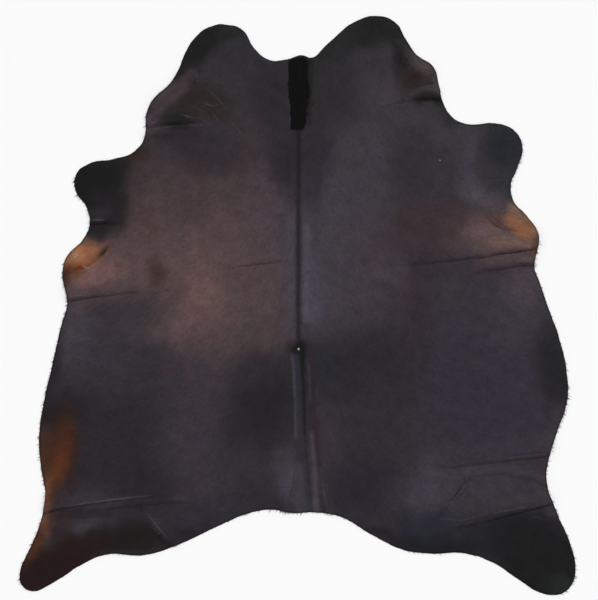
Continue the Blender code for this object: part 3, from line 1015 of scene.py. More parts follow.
def dress(sheet):
    """Gives every point of the coat what its hair does there."""
    mesh = sheet.data
    points = flat_places(mesh)
    lie = lie_of(points)
    give(mesh, "lie", "FLOAT_VECTOR", np.column_stack([lie, np.zeros(len(points))]))
    give(mesh, "combed", "FLOAT_VECTOR", combed(points))
    give(mesh, "parting", "FLOAT", parting_gap(points))
    # The painted shade and painted highlights of folds and creases, for the material.
    crease = painted_crease_shade(points)
    give(mesh, "crease", "FLOAT", crease)
    ringed = len(COAT_RINGS) * len(RIM)
    edge = np.zeros(len(points))
    edge[:ringed] = np.repeat(COAT_EDGE_SHADE, len(RIM))
    give(mesh, "edge", "FLOAT", edge)
    growth = np.zeros(len(points))
    for face in mesh.polygons:
        if face.normal.z > FACES_UP:
            growth[list(face.vertices)] = 1.0
    growth[len(RIM):ringed] = 0.0
    growth *= 1.0 - np.abs(crease)
    give(mesh, "growth", "FLOAT", growth)
    give(mesh, "reach", "FLOAT", np.ones(len(points)))


def make_coat():
    upper_inset, lower_inset = COAT_INSETS
    upper = strewn(RIM - upper_inset * outwards(RIM), *COAT_UPPER)
    lower = strewn(RIM - lower_inset * outwards(RIM), *COAT_LOWER)
    sheet = closed_sheet("hide_coat", COAT_RINGS, upper, lower, relief, True)
    dress(sheet)
    return sheet


coat = make_coat()

# %% [markdown]
# ## The colour of the coat
#
# The hide is nearly black, with brown showing through where the hair is thin or bleached by the
# sun: at the elbows, along the left flank and the hind leg, and as a warm cloud over the left
# side. Such a coat could be painted, but a table of zones reads better and stays procedural. Each
# zone is a turned ellipse with a soft edge, and the point that asks for its colour is first moved
# a little by waves, which breaks up every edge. The sum is worked out once for each point of the
# coat's mesh, since nothing in it is finer than a triangle. Tones are written as the eye sees
# them, from 0 to 255, are blended that way, and only then does `seen` turn them into the hair's
# own colour.

# %% Zones of colour
VEIL = 0.0115  # what the gloss adds to every tone in this light
DARKEST = 0.0028


def seen(tone):
    """The hair's own colours where they read as these screen colours in the studio light."""
    screen = np.asarray(tone, float) / 255.0
    light = np.where(screen <= 0.04045, screen / 12.92, ((screen + 0.055) / 1.055) ** 2.4)
    return np.maximum(light - VEIL, DARKEST)


GROUND_TONE = (53, 49, 54)
Zone = namedtuple("Zone", "name middle half turn soft tone share")
# Most zones are the coat's own colour; the few marked below hold painted shade or painted light.
ZONES = [
    Zone("left side", (-35.7, 18.4), (43.4, 33.9), 0, 0.45, (75, 63, 65), 1.0),
    Zone("left side, upper", (-39.4, 44.2), (31.3, 14.0), 0, 0.7, (67, 56, 59), 0.85),
    Zone("left side, warm", (-37.5, 14.7), (25.8, 22.1), -8, 0.7, (84, 68, 69), 0.9),
    Zone("left side, palest", (-35.0, -2.6), (12.5, 16.9), 6, 0.8, (100, 78, 78), 1.0),
    Zone("left side, foot", (-33.1, -18.4), (11.4, 14.0), 0, 0.8, (80, 66, 68), 0.85),
    Zone("left of the spine, warm", (-15.5, 5.5), (11.0, 22.1), 0, 0.7, (79, 66, 68), 0.9),
    Zone("left of the spine, foot", (-12.9, -11.0), (11.0, 8.1), 0, 0.7, (74, 62, 64), 0.8),
    Zone("left of the spine, mauve", (-10.7, 33.1), (8.1, 16.6), 0, 0.7, (74, 62, 68), 0.85),
    Zone("upper left", (-30.2, 62.6), (25.8, 11.0), 0, 0.6, (54, 47, 51), 0.9),
    Zone("right of the spine", (14.0, 23.9), (19.1, 33.9), 0, 0.45, (65, 60, 67), 1.0),
    Zone("right of the spine, outer", (29.8, 16.6), (11.8, 22.1), 0, 0.7, (65, 57, 63), 0.85),
    Zone("right side, brown", (48.2, 20.2), (14.7, 25.8), 0, 0.6, (57, 49, 53), 0.95),
    Zone("right side, red", (50.0, 29.4), (12.5, 5.2), 0, 0.8, (61, 48, 52), 0.8),
    Zone("right side, dark", (47.1, 14.7), (8.1, 5.2), 0, 0.8, (53, 45, 49), 0.7),
    Zone("right, below the middle", (28.7, -24.3), (21.3, 14.0), 0, 0.5, (46, 42, 47), 0.95),
    Zone("right, below the whorl", (7.7, -25.8), (8.8, 11.0), 0, 0.7, (44, 43, 50), 0.8),
    Zone("right flank", (74.7, -22.1), (30.2, 38.6), 0, 0.45, (54, 50, 59), 1.0),
    Zone("right flank, bluish", (58.1, -33.1), (15.5, 23.9), 0, 0.6, (52, 49, 58), 0.8),
    Zone("right flank, pale", (82.1, -1.8), (13.2, 12.5), 0, 0.8, (62, 57, 64), 0.8),
    Zone("right flank, inner", (59.2, 1.8), (8.8, 12.5), 0, 0.8, (55, 52, 59), 0.8),
    Zone("right, brown column", (44.5, -9.2), (5.2, 18.4), 0, 0.8, (52, 45, 49), 0.7),
    Zone("upper right", (26.1, 53.4), (15.5, 16.2), 0, 0.6, (61, 57, 64), 0.95),
    Zone("right of the mane, low", (6.3, 57.4), (6.6, 11.4), 0, 0.7, (45, 43, 49), 0.95),
    Zone("right shoulder, dark", (42.3, 52.6), (8.8, 11.0), 0, 0.7, (49, 46, 50), 0.95),
    Zone("right shoulder, outer", (55.6, 50.4), (9.6, 9.6), 0, 0.7, (53, 50, 55), 0.9),
    Zone("lower left", (-61.5, -49.7), (26.5, 25.8), 0, 0.55, (46, 43, 47), 0.95),
    Zone("lower left, upper", (-59.6, -25.8), (22.1, 10.3), 0, 0.7, (54, 49, 54), 0.8),
    Zone("lower left, mauve", (-34.6, -49.7), (15.8, 30.2), 0, 0.6, (61, 54, 61), 0.95),
    Zone("lower middle", (-15.8, -46.0), (11.8, 23.9), 0, 0.6, (46, 43, 47), 0.95),
    Zone("lower middle, dark", (-9.9, -33.1), (9.6, 13.2), 0, 0.7, (40, 38, 42), 0.85),
    Zone("left of the whorl", (-15.5, -24.7), (9.6, 5.2), 0, 0.8, (52, 47, 51), 0.6),
    Zone("left of the rump", (-30.2, -76.2), (16.9, 6.6), 14, 0.7, (50, 47, 54), 0.8),
    Zone("left neck", (-22.8, 86.5), (17.7, 16.6), 0, 0.6, (50, 47, 51), 0.95),
    Zone("left neck, tip", (-35.3, 96.4), (11.0, 5.5), 42, 0.5, (28, 27, 27), 1.0),
    Zone("left neck, top", (-25.4, 100.5), (8.8, 2.9), 0, 0.7, (37, 37, 37), 0.9),
    Zone("left neck, fold", (-41.2, 88.5), (6.6, 4.4), 44, 0.6, (26, 24, 24), 0.95),
    Zone("left neck, grey", (-22.4, 90.9), (8.1, 5.2), 0, 0.8, (47, 45, 50), 0.8),
    Zone("left neck, warm", (-27.6, 82.8), (6.6, 5.9), 0, 0.8, (54, 49, 53), 0.8),
    Zone("left shoulder, olive", (-36.8, 74.7), (8.8, 6.6), 16, 0.5, (45, 38, 37), 0.95),
    Zone("left shoulder, speckled", (-29.8, 72.5), (6.6, 5.2), 0, 0.8, (48, 41, 42), 0.85),
    Zone("left neck, mauve edge", (-46.4, 77.3), (11.4, 2.6), 47, 0.6, (69, 58, 61), 1.0),
    # Painted shadow in the hollow next to the shoulder's pale ridge.
    Zone("left shoulder, hollow", (-44.2, 68.2), (7.0, 2.6), -4, 0.7, (31, 28, 29), 0.95),
    # Painted highlight where that ridge meets the rim.
    Zone("left shoulder, rim", (-53.4, 65.9), (1.8, 3.7), 0, 0.7, (74, 66, 72), 0.9),
    Zone("left shoulder, under", (-43.1, 62.2), (12.5, 2.9), 0, 0.8, (45, 40, 43), 0.85),
    Zone("left shoulder, rim foot", (-53.8, 62.6), (3.3, 2.9), 0, 0.7, (61, 53, 55), 0.9),
    Zone("left shoulder, grey", (-32.8, 56.3), (9.6, 7.4), 0, 0.7, (51, 45, 49), 0.9),
    Zone("left shoulder, warm", (-16.6, 63.7), (7.4, 8.1), 0, 0.8, (59, 51, 55), 0.9),
    Zone("left of the mane", (-8.1, 78.4), (7.4, 13.2), 0, 0.7, (44, 41, 47), 0.95),
    Zone("left of the parting, dark", (-3.7, 53.4), (5.5, 12.5), 0, 0.7, (44, 41, 46), 0.95),
    Zone("right of the mane", (11.0, 81.4), (11.4, 14.0), 0, 0.6, (45, 42, 45), 0.95),
    Zone("right neck, tip", (28.7, 102.0), (13.6, 6.6), 16, 0.5, (29, 30, 30), 0.95),
    Zone("right neck, right edge", (36.4, 98.3), (3.7, 7.4), 22, 0.6, (33, 33, 32), 1.0),
    Zone("right neck, left edge", (14.7, 95.3), (9.9, 4.0), 38, 0.7, (38, 38, 39), 0.9),
    Zone("right neck, grey", (29.8, 89.4), (7.4, 6.6), 0, 0.8, (52, 49, 52), 0.9),
    Zone("right neck, pale", (31.3, 77.3), (8.1, 6.6), 0, 0.8, (63, 57, 61), 0.85),
    Zone("right neck, kink", (37.5, 89.4), (2.2, 5.2), 10, 0.7, (39, 37, 37), 0.9),
    Zone("right neck, brown", (41.6, 82.8), (4.4, 4.0), -20, 0.7, (45, 36, 35), 0.95),
    Zone("right neck, pink", (47.5, 86.5), (4.8, 3.7), -35, 0.7, (66, 55, 54), 0.95),
    # Painted shadow under the fold on the right of the neck.
    Zone("right neck, hollow", (49.6, 75.8), (5.9, 1.8), -6, 0.6, (27, 26, 25), 1.0),
    Zone("right neck, under", (45.3, 68.8), (11.0, 3.3), -10, 0.8, (58, 55, 60), 0.8),
    Zone("right neck, rim", (51.9, 83.5), (1.5, 3.3), 0, 0.6, (78, 70, 66), 0.6),
    Zone("right neck, lower", (57.0, 63.7), (7.4, 5.9), 0, 0.8, (59, 57, 61), 0.85),
    Zone("right foreleg, inner", (62.9, 53.4), (3.3, 11.8), 4, 0.7, (61, 58, 67), 0.95),
    Zone("right foreleg", (77.3, 59.2), (8.5, 9.2), 0, 0.45, (41, 42, 47), 1.0),
    Zone("right foreleg, core", (74.7, 58.5), (3.7, 4.0), 0, 0.8, (36, 38, 46), 0.7),
    Zone("right foreleg, foot", (76.2, 43.8), (7.0, 5.5), 0, 0.7, (48, 49, 55), 0.9),
    Zone("right foreleg, grey", (67.7, 39.4), (7.7, 4.0), -14, 0.7, (73, 66, 73), 0.9),
    Zone("left foreleg", (-75.4, 44.2), (12.1, 11.4), 0, 0.3, (32, 31, 32), 1.0),
    Zone("left foreleg, below", (-70.0, 34.6), (9.2, 8.5), 34, 0.5, (38, 36, 38), 1.0),
    Zone("left foreleg, grey", (-72.5, 33.9), (4.4, 1.8), 0, 0.8, (52, 49, 55), 0.3),
    Zone("left foreleg, warm", (-56.7, 32.8), (5.2, 5.9), 0, 0.8, (74, 59, 59), 0.8),
    Zone("left foreleg, side", (-59.2, 46.7), (3.7, 5.9), 0, 0.8, (62, 51, 53), 0.8),
    Zone("left foreleg, rim", (-61.5, 55.9), (5.9, 3.3), 12, 0.8, (49, 39, 34), 0.95),
    Zone("left elbow, field", (-65.9, 13.6), (14.7, 9.6), 8, 0.7, (84, 68, 69), 0.95),
    Zone("left elbow, pink", (-74.0, 11.8), (11.8, 5.2), 26, 0.6, (106, 81, 79), 1.0),
    Zone("left elbow, ginger", (-79.9, 18.0), (9.9, 4.8), 24, 0.3, (134, 88, 64), 1.0),
    Zone("left elbow, top", (-74.0, 22.4), (5.5, 1.5), -4, 0.8, (88, 66, 63), 0.7),
    Zone("left elbow, ginger foot", (-83.2, 12.5), (3.7, 3.3), 10, 0.6, (98, 63, 46), 0.95),
    Zone("left elbow, ginger heart", (-80.6, 18.4), (4.8, 2.2), 30, 0.8, (150, 102, 74), 0.8),
    Zone("left elbow, ginger tip", (-71.4, 19.8), (2.8, 0.9), 48, 0.7, (58, 42, 38), 0.7),
    Zone("left elbow, rim foot", (-85.3, 8.1), (2.4, 5.2), -6, 0.7, (66, 45, 38), 0.95),
    Zone("left elbow, mauve", (-62.2, 18.0), (6.6, 3.3), 0, 0.8, (82, 67, 69), 0.7),
    Zone("left elbow, red brown", (-51.5, 11.4), (3.3, 5.5), 8, 0.7, (68, 49, 48), 0.85),
    # These two are partly the coat's colour and partly painted light above the fold and painted shade below
    # it.
    Zone("left flank, above the fold", (-72.5, 4.8), (14.7, 2.6), 6, 0.8, (78, 62, 63), 0.7),
    Zone("left flank, below the fold", (-62.2, -2.6), (15.5, 5.9), 6, 0.7, (59, 53, 57), 0.9),
    Zone("left flank, rose", (-81.3, -0.4), (4.4, 2.2), 5, 0.8, (75, 62, 65), 0.8),
    Zone("left flank, lavender", (-81.7, -11.4), (7.7, 10.3), 0, 0.7, (71, 65, 72), 0.9),
    Zone("left flank", (-72.5, -17.3), (11.0, 10.3), 0, 0.8, (57, 53, 60), 0.8),
    Zone("left flank, rim", (-91.3, -22.4), (3.7, 15.5), -10, 0.7, (42, 41, 44), 0.95),
    Zone("left flank, dark", (-85.0, -37.9), (8.8, 5.9), 0, 0.7, (42, 39, 42), 0.9),
    Zone("right elbow, field", (74.7, 25.4), (16.2, 9.6), 0, 0.55, (80, 65, 66), 1.0),
    Zone("right elbow, pink", (69.5, 28.7), (5.5, 3.7), -10, 0.8, (98, 77, 77), 0.95),
    Zone("right elbow, pale band", (79.9, 23.2), (8.5, 2.2), -2, 0.7, (110, 84, 78), 0.95),
    Zone("right elbow, ginger", (82.8, 29.4), (6.6, 3.7), -26, 0.5, (124, 84, 60), 1.0),
    Zone("right elbow, top", (80.6, 34.2), (4.4, 2.0), -42, 0.6, (112, 88, 78), 0.95),
    Zone("right elbow, kink", (73.6, 30.5), (2.2, 1.5), -45, 0.8, (80, 58, 55), 0.8),
    Zone("right elbow, rim foot", (87.2, 21.7), (1.8, 2.9), 0, 0.7, (78, 59, 50), 0.85),
    Zone("right flank, upper", (79.1, 16.9), (9.6, 1.8), 6, 0.8, (84, 67, 67), 0.7),
    # Painted shade in the hollow below the right flank's fold.
    Zone("right flank, hollow", (71.0, 12.9), (12.5, 2.2), 5, 0.8, (58, 50, 54), 0.8),
    Zone("right flank, rose", (83.5, 7.7), (6.6, 6.6), 0, 0.8, (74, 64, 69), 0.85),
    Zone("right elbow, inner", (57.0, 33.5), (6.6, 4.4), 0, 0.8, (62, 52, 56), 0.7),
    Zone("right flank, rim", (95.0, -24.3), (6.6, 17.7), 8, 0.6, (40, 39, 42), 0.95),
    Zone("right flank, rim foot", (95.3, -45.3), (3.3, 8.8), -8, 0.7, (61, 55, 58), 0.85),
    Zone("right hind leg, edge", (90.5, -63.7), (2.9, 8.8), -4, 0.8, (59, 50, 51), 0.8),
    Zone("left flank, ginger shade", (-84.3, -54.1), (5.5, 16.2), -4, 0.6, (50, 40, 40), 0.9),
    Zone("left flank, ginger", (-87.2, -53.7), (5.5, 13.2), -8, 0.45, (67, 43, 34), 1.0),
    Zone("left flank, ginger rim", (-93.2, -54.5), (2.2, 7.7), 2, 0.8, (70, 48, 38), 0.9),
    Zone("left flank, ginger foot", (-87.8, -61.2), (2.7, 8.5), -8, 0.7, (86, 53, 36), 0.95),
    Zone("left flank, ginger top", (-90.2, -40.8), (5.9, 3.3), 0, 0.8, (43, 36, 36), 0.85),
    Zone("left hind leg, bright edge", (-92.4, -71.4), (2.6, 7.7), -4, 0.7, (112, 70, 47), 1.0),
    Zone("left hind leg, pink edge", (-92.9, -78.6), (3.7, 5.5), -16, 0.7, (138, 90, 74), 1.0),
    Zone("left hind leg, edge foot", (-96.7, -88.7), (2.8, 9.2), -25, 0.8, (76, 48, 36), 0.95),
    Zone("left hind leg, brown field", (-86.8, -77.3), (5.5, 10.3), 6, 0.7, (52, 42, 42), 0.85),
    Zone("left hind leg, grey bars", (-75.4, -71.8), (10.3, 3.3), 0, 0.7, (56, 52, 58), 0.85),
    Zone("left hind leg, between", (-79.1, -76.5), (10.3, 1.5), 0, 0.7, (45, 41, 44), 0.7),
    Zone("left hind leg, pale", (-77.7, -81.4), (5.2, 2.4), 14, 0.8, (62, 58, 64), 0.85),
    Zone("left hind leg, dark", (-63.3, -86.8), (19.1, 4.4), 4, 0.7, (37, 33, 34), 0.95),
    Zone("left hind leg, warm dark", (-60.7, -82.8), (8.1, 3.7), 0, 0.8, (36, 33, 32), 0.7),
    Zone("left hind leg", (-89.1, -96.0), (18.4, 6.6), 26, 0.5, (42, 31, 27), 1.0),
    Zone("left hind leg, upper dark", (-54.1, -68.1), (11.0, 8.1), 0, 0.8, (42, 39, 43), 0.6),
    Zone("above the rump", (-3.7, -62.9), (4.8, 9.2), 0, 0.8, (68, 65, 74), 0.95),
    Zone("right of the tail line, rose", (9.2, -51.5), (6.6, 16.2), 0, 0.7, (59, 52, 56), 0.9),
    Zone("right of the tail line, mauve", (29.8, -44.2), (11.0, 16.9), 0, 0.7, (52, 47, 51), 0.85),
    Zone("right of the rump", (23.9, -66.6), (11.8, 10.3), 10, 0.6, (44, 42, 49), 0.95),
    Zone("right hind leg, pale", (63.7, -65.9), (25.0, 8.8), 6, 0.6, (59, 56, 63), 0.95),
    Zone("right hind leg, palest", (48.2, -68.0), (6.3, 13.6), -10, 0.7, (64, 61, 69), 0.9),
    Zone("right hind leg, bluish", (48.2, -82.8), (12.5, 6.6), 0, 0.7, (43, 43, 51), 0.9),
    Zone("right hind leg, shade", (75.4, -83.2), (17.3, 6.8), 12, 0.4, (40, 40, 43), 0.95),
    Zone("right hind leg", (88.7, -93.5), (18.4, 14.7), -35, 0.35, (34, 34, 35), 1.0),
    Zone("round the whorl", (0.4, -16.4), (4.0, 2.4), 0, 0.7, (40, 37, 40), 0.9),
    Zone("whorl", (1.2, -17.2), (1.9, 2.9), 0, 0.7, (16, 14, 16), 0.95),
    Zone("left foreleg, under", (-75.8, 28.3), (5.9, 3.3), 0, 0.7, (38, 36, 38), 0.95),
    Zone("right neck, gap", (56.3, 71.8), (4.4, 5.5), 0, 0.7, (43, 42, 45), 1.0),
    Zone("right hind leg, tip", (97.9, -104.5), (6.3, 4.0), -35, 0.7, (42, 44, 43), 0.9),
    Zone("right hind leg, rim", (94.2, -74.7), (4.0, 3.3), 0, 0.8, (57, 54, 58), 0.8),
    Zone("right hind leg, lower rim", (53.4, -89.8), (15.1, 3.7), -2, 0.8, (34, 35, 39), 0.9),
    Zone("right of the spine, rose", (34.2, 12.9), (6.3, 5.2), 0, 0.8, (69, 61, 66), 0.8),
    Zone("right of the spine, dark", (5.2, 42.3), (4.0, 6.3), 0, 0.8, (48, 46, 53), 0.8),
    Zone("right shoulder, grey", (64.0, 42.3), (4.0, 4.4), 0, 0.8, (70, 66, 74), 0.8),
    Zone("left side, olive", (-46.7, 5.5), (5.2, 4.0), 0, 0.8, (77, 63, 63), 0.8),
    Zone("left side, dusky", (-39.4, 35.7), (6.3, 5.5), 0, 0.8, (68, 56, 59), 0.8),
    Zone("rump, notch", (-10.3, -75.6), (6.6, 2.9), 8, 0.8, (45, 43, 46), 0.8),
    Zone("right of the spine, bluish", (5.9, 2.2), (4.4, 9.6), 0, 0.8, (71, 68, 80), 0.8),
    # These two are painted shade where the rump's rim rounds down.
    Zone("rump, left rim", (-40.5, -84.2), (9.2, 2.2), 24, 0.8, (40, 37, 40), 0.7),
    Zone("rump, right rim", (33.1, -84.6), (11.0, 2.2), -14, 0.8, (36, 35, 39), 0.7),
    Zone("above the rump, left", (-20.2, -58.9), (14.0, 6.6), 0, 0.8, (56, 51, 57), 0.75),
    Zone("left foreleg, upper", (-70.6, 49.7), (8.8, 5.5), 10, 0.5, (33, 32, 33), 0.95),
]
ZONE_WARPS = [(6.6 * MM, 0.147, 91), (3.3 * MM, 0.052, 93)]  # how far, in swells of what size, seed


def zone_tone(points):
    """The coat's colour at these points, without its streaks."""
    moved = points.copy()
    for far, size, seed in ZONE_WARPS:
        moved += far * np.stack([waves(points, size, seed), waves(points, size, seed + 1)], 1)
    tone = np.tile(np.array(GROUND_TONE, float), (len(points), 1))
    for zone in ZONES:
        away = moved - on_hide([zone.middle])
        turn = np.radians(zone.turn)
        along = (away[:, 0] * np.cos(turn) + away[:, 1] * np.sin(turn)) / (zone.half[0] * CM)
        across = (away[:, 1] * np.cos(turn) - away[:, 0] * np.sin(turn)) / (zone.half[1] * CM)
        share = ((1.0 + zone.soft - np.hypot(along, across)) / (2.0 * zone.soft)).clip(0.0, 1.0)
        share = (share * share * (3.0 - 2.0 * share) * zone.share)[:, None]
        tone += share * (np.array(zone.tone) - tone)
    return seen(tone)


coat_places = flat_places(coat.data)
give(coat.data, "dye", "FLOAT_VECTOR", zone_tone(coat_places))
print(len(ZONES), "zones of colour over", len(coat_places), "points")

# %% [markdown]
# ## The lines along the spine
#
# Down the middle of the back the hair parts. The mane is a near black stripe at the neck, a thin
# dark line runs on from it to a whorl below the middle, and several pale and dark strips lead
# from there to the tail. They follow the parting, so they are placed by their distance from it,
# which the mesh carries. This keeps a line five millimetres wide sharp on triangles of ten.

# %% Strips along the parting
Strip = namedtuple("Strip", "name shift top_half foot_half top foot edge tone share")
STRIPS = [
    Strip("left of the parting, grey", -2.6, 1.4, 1.6, 32.0, -12.0, 4.0, (70, 67, 76), 0.7),
    Strip("right of the parting, grey", 3.0, 1.0, 1.4, 30.0, -6.0, 3.2, (78, 75, 85), 0.75),
    Strip("right of the mane, shade", 3.9, 1.5, 0.7, 91.0, 66.0, 2.0, (28, 27, 29), 0.85),
    Strip("parting, shade", 0.0, 1.0, 0.5, 65.0, -13.0, 2.8, (40, 38, 44), 0.7),
    Strip("parting", 0.0, 0.7, 0.65, 65.0, -13.0, 1.2, (39, 37, 43), 0.85),
    Strip("parting, upper", 0.0, 0.7, 0.4, 65.0, 44.0, 0.9, (25, 24, 28), 0.7),
    Strip("mane", 0.3, 3.3, 1.8, 91.5, 65.6, 1.6, (17, 18, 18), 1.0),
    Strip("tail line, grey strip", -1.6, 1.5, 3.0, -18.0, -77.0, 1.6, (50, 49, 55), 0.8),
    Strip("tail line, foot", -3.0, 1.0, 2.2, -58.0, -77.0, 2.4, (65, 62, 70), 0.8),
    Strip("tail line, brown strip", 3.2, 1.9, 2.0, -18.0, -60.0, 1.6, (48, 41, 45), 0.7),
    Strip("tail line, rose strip", 2.4, 0.6, 1.2, -47.0, -77.0, 1.8, (73, 67, 72), 0.85),
    Strip("tail line, pale", -3.3, 0.45, 0.5, -18.0, -49.0, 0.6, (64, 62, 70), 0.85),
    Strip("tail line, second pale", 2.2, 0.35, 0.35, -21.0, -35.0, 0.5, (62, 56, 61), 0.8),
    Strip("tail line, third pale", 4.6, 0.35, 0.35, -29.0, -41.0, 0.5, (58, 53, 58), 0.6),
    Strip("tail line, upper", -0.1, 0.75, 0.5, -15.5, -48.0, 1.3, (19, 17, 21), 0.95),
    Strip("tail line", 0.0, 0.45, 0.3, -40.0, -66.0, 0.9, (43, 40, 45), 0.65),
]
STRIP_ENDS = 0.012  # how softly a strip ends
JITTER_SCALE = 60.0
JITTER = 0.004  # how far single hairs carry a strip's edge
print(len(STRIPS), "strips along the parting")

# %% [markdown]
# ## The coat's material
#
# Hair is a dark fibre with a soft gloss. Under a short, well brushed coat this gives streaks that
# follow the lie of the hair: some locks a little paler, some rougher, with tiny ridges between
# them. All of it comes from noise stretched along the hair. The same material serves the loose
# locks, which add a tone of their own, one for each lock.

# %% The material of the hair
STREAK_FINE = (620.0, 60.0, 1.0)  # swells to a metre, across and along the hair
STREAK_WIDE = (150.0, 24.0, 1.0)
STREAK_TINT = (34.0, 12.0, 1.0)
CLOUD = 22.0
GRAIN = 95.0
SHARES = (0.75, 0.5, 0.6, 0.6)  # how much the tone varies with fine, wide, cloud and grain
TINT_RANGE = 0.38  # how much each of red, green and blue varies
LOCK_RANGE = 0.2  # how much one loose lock differs from the next
DEEPEST_SHADE = 0.2  # what the painted shade in the deepest crease leaves of the tone
EDGE_SHADE = 0.75  # what the painted shade at the cut edge takes from the tone
# The pale tone of the painted highlight on crests and pale creases.
PAINTED_HIGHLIGHT = (122, 116, 124)
HIGHLIGHT_SHARE = 0.3  # how much of the painted highlight shows on the sharpest ridge
HAIR_ROUGHNESS = 0.56
ROUGH_SHARES = (0.1, 0.16)  # how much it varies with fine and wide
HAIR_SHINE = 0.16
RIDGE_SHARES = (0.35, 0.65)  # of fine and wide in the bump
RIDGE_STRENGTH = 0.45
RIDGE_RISE = 0.0006


def strip_tone(nodes, tone):
    """The colour with the strips along the parting laid over it."""
    along = nodes.node("SeparateXYZ", {}, {0: nodes.place()}, 1)
    jitter = nodes.noise(nodes.place(), JITTER_SCALE) - 0.5
    gap = nodes.attribute("parting") + jitter * JITTER
    for strip in STRIPS:
        top = on_hide([(0.0, strip.top)])[0][1]
        foot = on_hide([(0.0, strip.foot)])[0][1]
        half = nodes.node(
            "MapRange", {},
            {
                "Value": along, "From Min": top, "From Max": foot,
                "To Min": strip.top_half * CM, "To Max": strip.foot_half * CM,
            },
        )
        off = nodes.node("Math", {"operation": "ABSOLUTE"}, {0: gap - strip.shift * CM})
        mask = nodes.ramp(off - half, strip.edge * CM / 2, -strip.edge * CM / 2)
        mask = mask * nodes.ramp(along, top + STRIP_ENDS, top - STRIP_ENDS)
        mask = mask * nodes.ramp(along, foot - STRIP_ENDS, foot + STRIP_ENDS)
        tone = nodes.mix(mask * strip.share, tone, (*seen(strip.tone), 1.0))
    return tone


def hair_material(name, bumped):
    material, nodes, inputs = new_material(name, HAIR_SHINE)
    tone = strip_tone(nodes, nodes.attribute("dye", vector=True))
    comb = nodes.attribute("combed", vector=True)
    fine = nodes.noise(comb * STREAK_FINE, 1.0, 3.0)
    wide = nodes.noise(comb * STREAK_WIDE, 1.0, 3.0)
    cloud = nodes.noise(nodes.place(), CLOUD, 3.0)
    grain = nodes.noise(nodes.place(), GRAIN, 3.0)
    shade = 1.0
    for noise, share in zip((fine, wide, cloud, grain), SHARES):
        shade = shade + (noise - 0.5) * share
    # Painted shade darkens the tone at creases and fold feet; a painted highlight mixes in a pale tone on
    # crests and pale creases.
    crease = nodes.attribute("crease")
    shade = shade * nodes.ramp(crease, -1.0, 0.0, DEEPEST_SHADE, 1.0)
    tone = nodes.mix(nodes.ramp(crease, 0.0, 1.0) * HIGHLIGHT_SHARE, tone, (*seen(PAINTED_HIGHLIGHT), 1.0))
    # Painted shade where the coat rounds over its cut edge.
    shade = shade * (1.0 - nodes.attribute("edge") * EDGE_SHADE)
    if not bumped:
        shade = shade * (1.0 - LOCK_RANGE / 2 + nodes.attribute("tone") * LOCK_RANGE)
    colours = nodes.noise(comb * STREAK_TINT, 1.0, 3.0, colour=True)
    tint = 1.0 - TINT_RANGE / 2 + colours * TINT_RANGE
    nodes.feed(inputs["Base Color"], tone * tint * shade)
    rough = HAIR_ROUGHNESS + (wide - 0.5) * ROUGH_SHARES[1] + (fine - 0.5) * ROUGH_SHARES[0]
    nodes.feed(inputs["Roughness"], rough)
    if bumped:
        height = fine * RIDGE_SHARES[0] + wide * RIDGE_SHARES[1]
        ridges = {"Strength": RIDGE_STRENGTH, "Distance": RIDGE_RISE, "Height": height}
        nodes.feed(inputs["Normal"], nodes.node("Bump", {}, ridges))
    return material


COAT_HAIR = hair_material("coat hair", True)
coat.data.materials.append(COAT_HAIR)
print("the coat's material has", len(COAT_HAIR.node_tree.nodes), "nodes")

# %% [markdown]
# ## The leather's material
#
# The flesh side of a tanned hide is suede: pale grey tan, matt, with a short nap and faint veins.
# The cut edge shows the same leather in section. Bump gives the nap, since its fibres are far too
# small to model.

# %% The material of the leather
SUEDE_TONE = (0.36, 0.27, 0.19, 1.0)
SUEDE_DARK = (0.20, 0.15, 0.11, 1.0)
SUEDE_SHINE = 0.15
SUEDE_ROUGHNESS = 0.86
SUEDE_CLOUD = 6.0
SUEDE_VEINS = 9.0
SUEDE_NAP = 900.0
CLOUD_SPAN = (0.35, 0.7)
CLOUD_SHARE = 0.7  # how much of the dark tone the clouds bring
VEIN_SPAN = (0.8, 1.6)
VEIN_SHARE = 0.25
NAP_RANGE = 0.4  # how much the tone varies with the nap
NAP_STRENGTH = 0.5
NAP_RISE = 0.0005


def suede_material():
    material, nodes, inputs = new_material("flesh side suede", SUEDE_SHINE)
    here = nodes.place()
    cloud = nodes.noise(here, SUEDE_CLOUD, 5.0)
    ridged = {"Vector": here, "Scale": SUEDE_VEINS, "Detail": 3.0}
    veins = nodes.node("TexNoise", {"noise_type": "RIDGED_MULTIFRACTAL"}, ridged)
    nap = nodes.noise(here, SUEDE_NAP, 3.0)
    share = nodes.ramp(cloud, *CLOUD_SPAN) * CLOUD_SHARE + nodes.ramp(veins, *VEIN_SPAN) * VEIN_SHARE
    tone = nodes.mix(share, SUEDE_TONE, SUEDE_DARK)
    nodes.feed(inputs["Base Color"], tone * (1.0 - NAP_RANGE / 2 + nap * NAP_RANGE))
    nodes.feed(inputs["Roughness"], SUEDE_ROUGHNESS + (nap - 0.5) * 0.2)
    fibres = {"Strength": NAP_STRENGTH, "Distance": NAP_RISE, "Height": nap}
    nodes.feed(inputs["Normal"], nodes.node("Bump", {}, fibres))
    return material


SUEDE = suede_material()
leather.data.materials.append(SUEDE)
print("the suede's material has", len(SUEDE.node_tree.nodes), "nodes")

# %% [markdown]
# ## Planting hair
#
# Hair is the clearest case for Geometry Nodes: one small lock, planted a hundred thousand times,
# each copy turned along the hair and a little different. The tree takes a ground, which is either
# the coat, over which points are strewn, or a few thousand points worked out beforehand, each
# with its own direction and length. Real single hairs would be far too many, so a lock stands for
# a few dozen hairs that cling together: a flat tapered body with a ridge.

# %% One lock
SLIM_LOCK = [(0.38, 1.0)]  # place along it, girth
LONG_LOCK = [(0.12, 0.7), (0.5, 1.0), (0.85, 0.5)]
TIP_RISE = 0.3  # of its thickness


def edge_side(edge, count):
    """Which rows of the lock an edge joins: 1 left, 2 ridge, 3 right, 0 root or tip."""
    return {0 if i in (0, count - 1) else (i - 1) % 3 + 1 for i in edge.vertices}


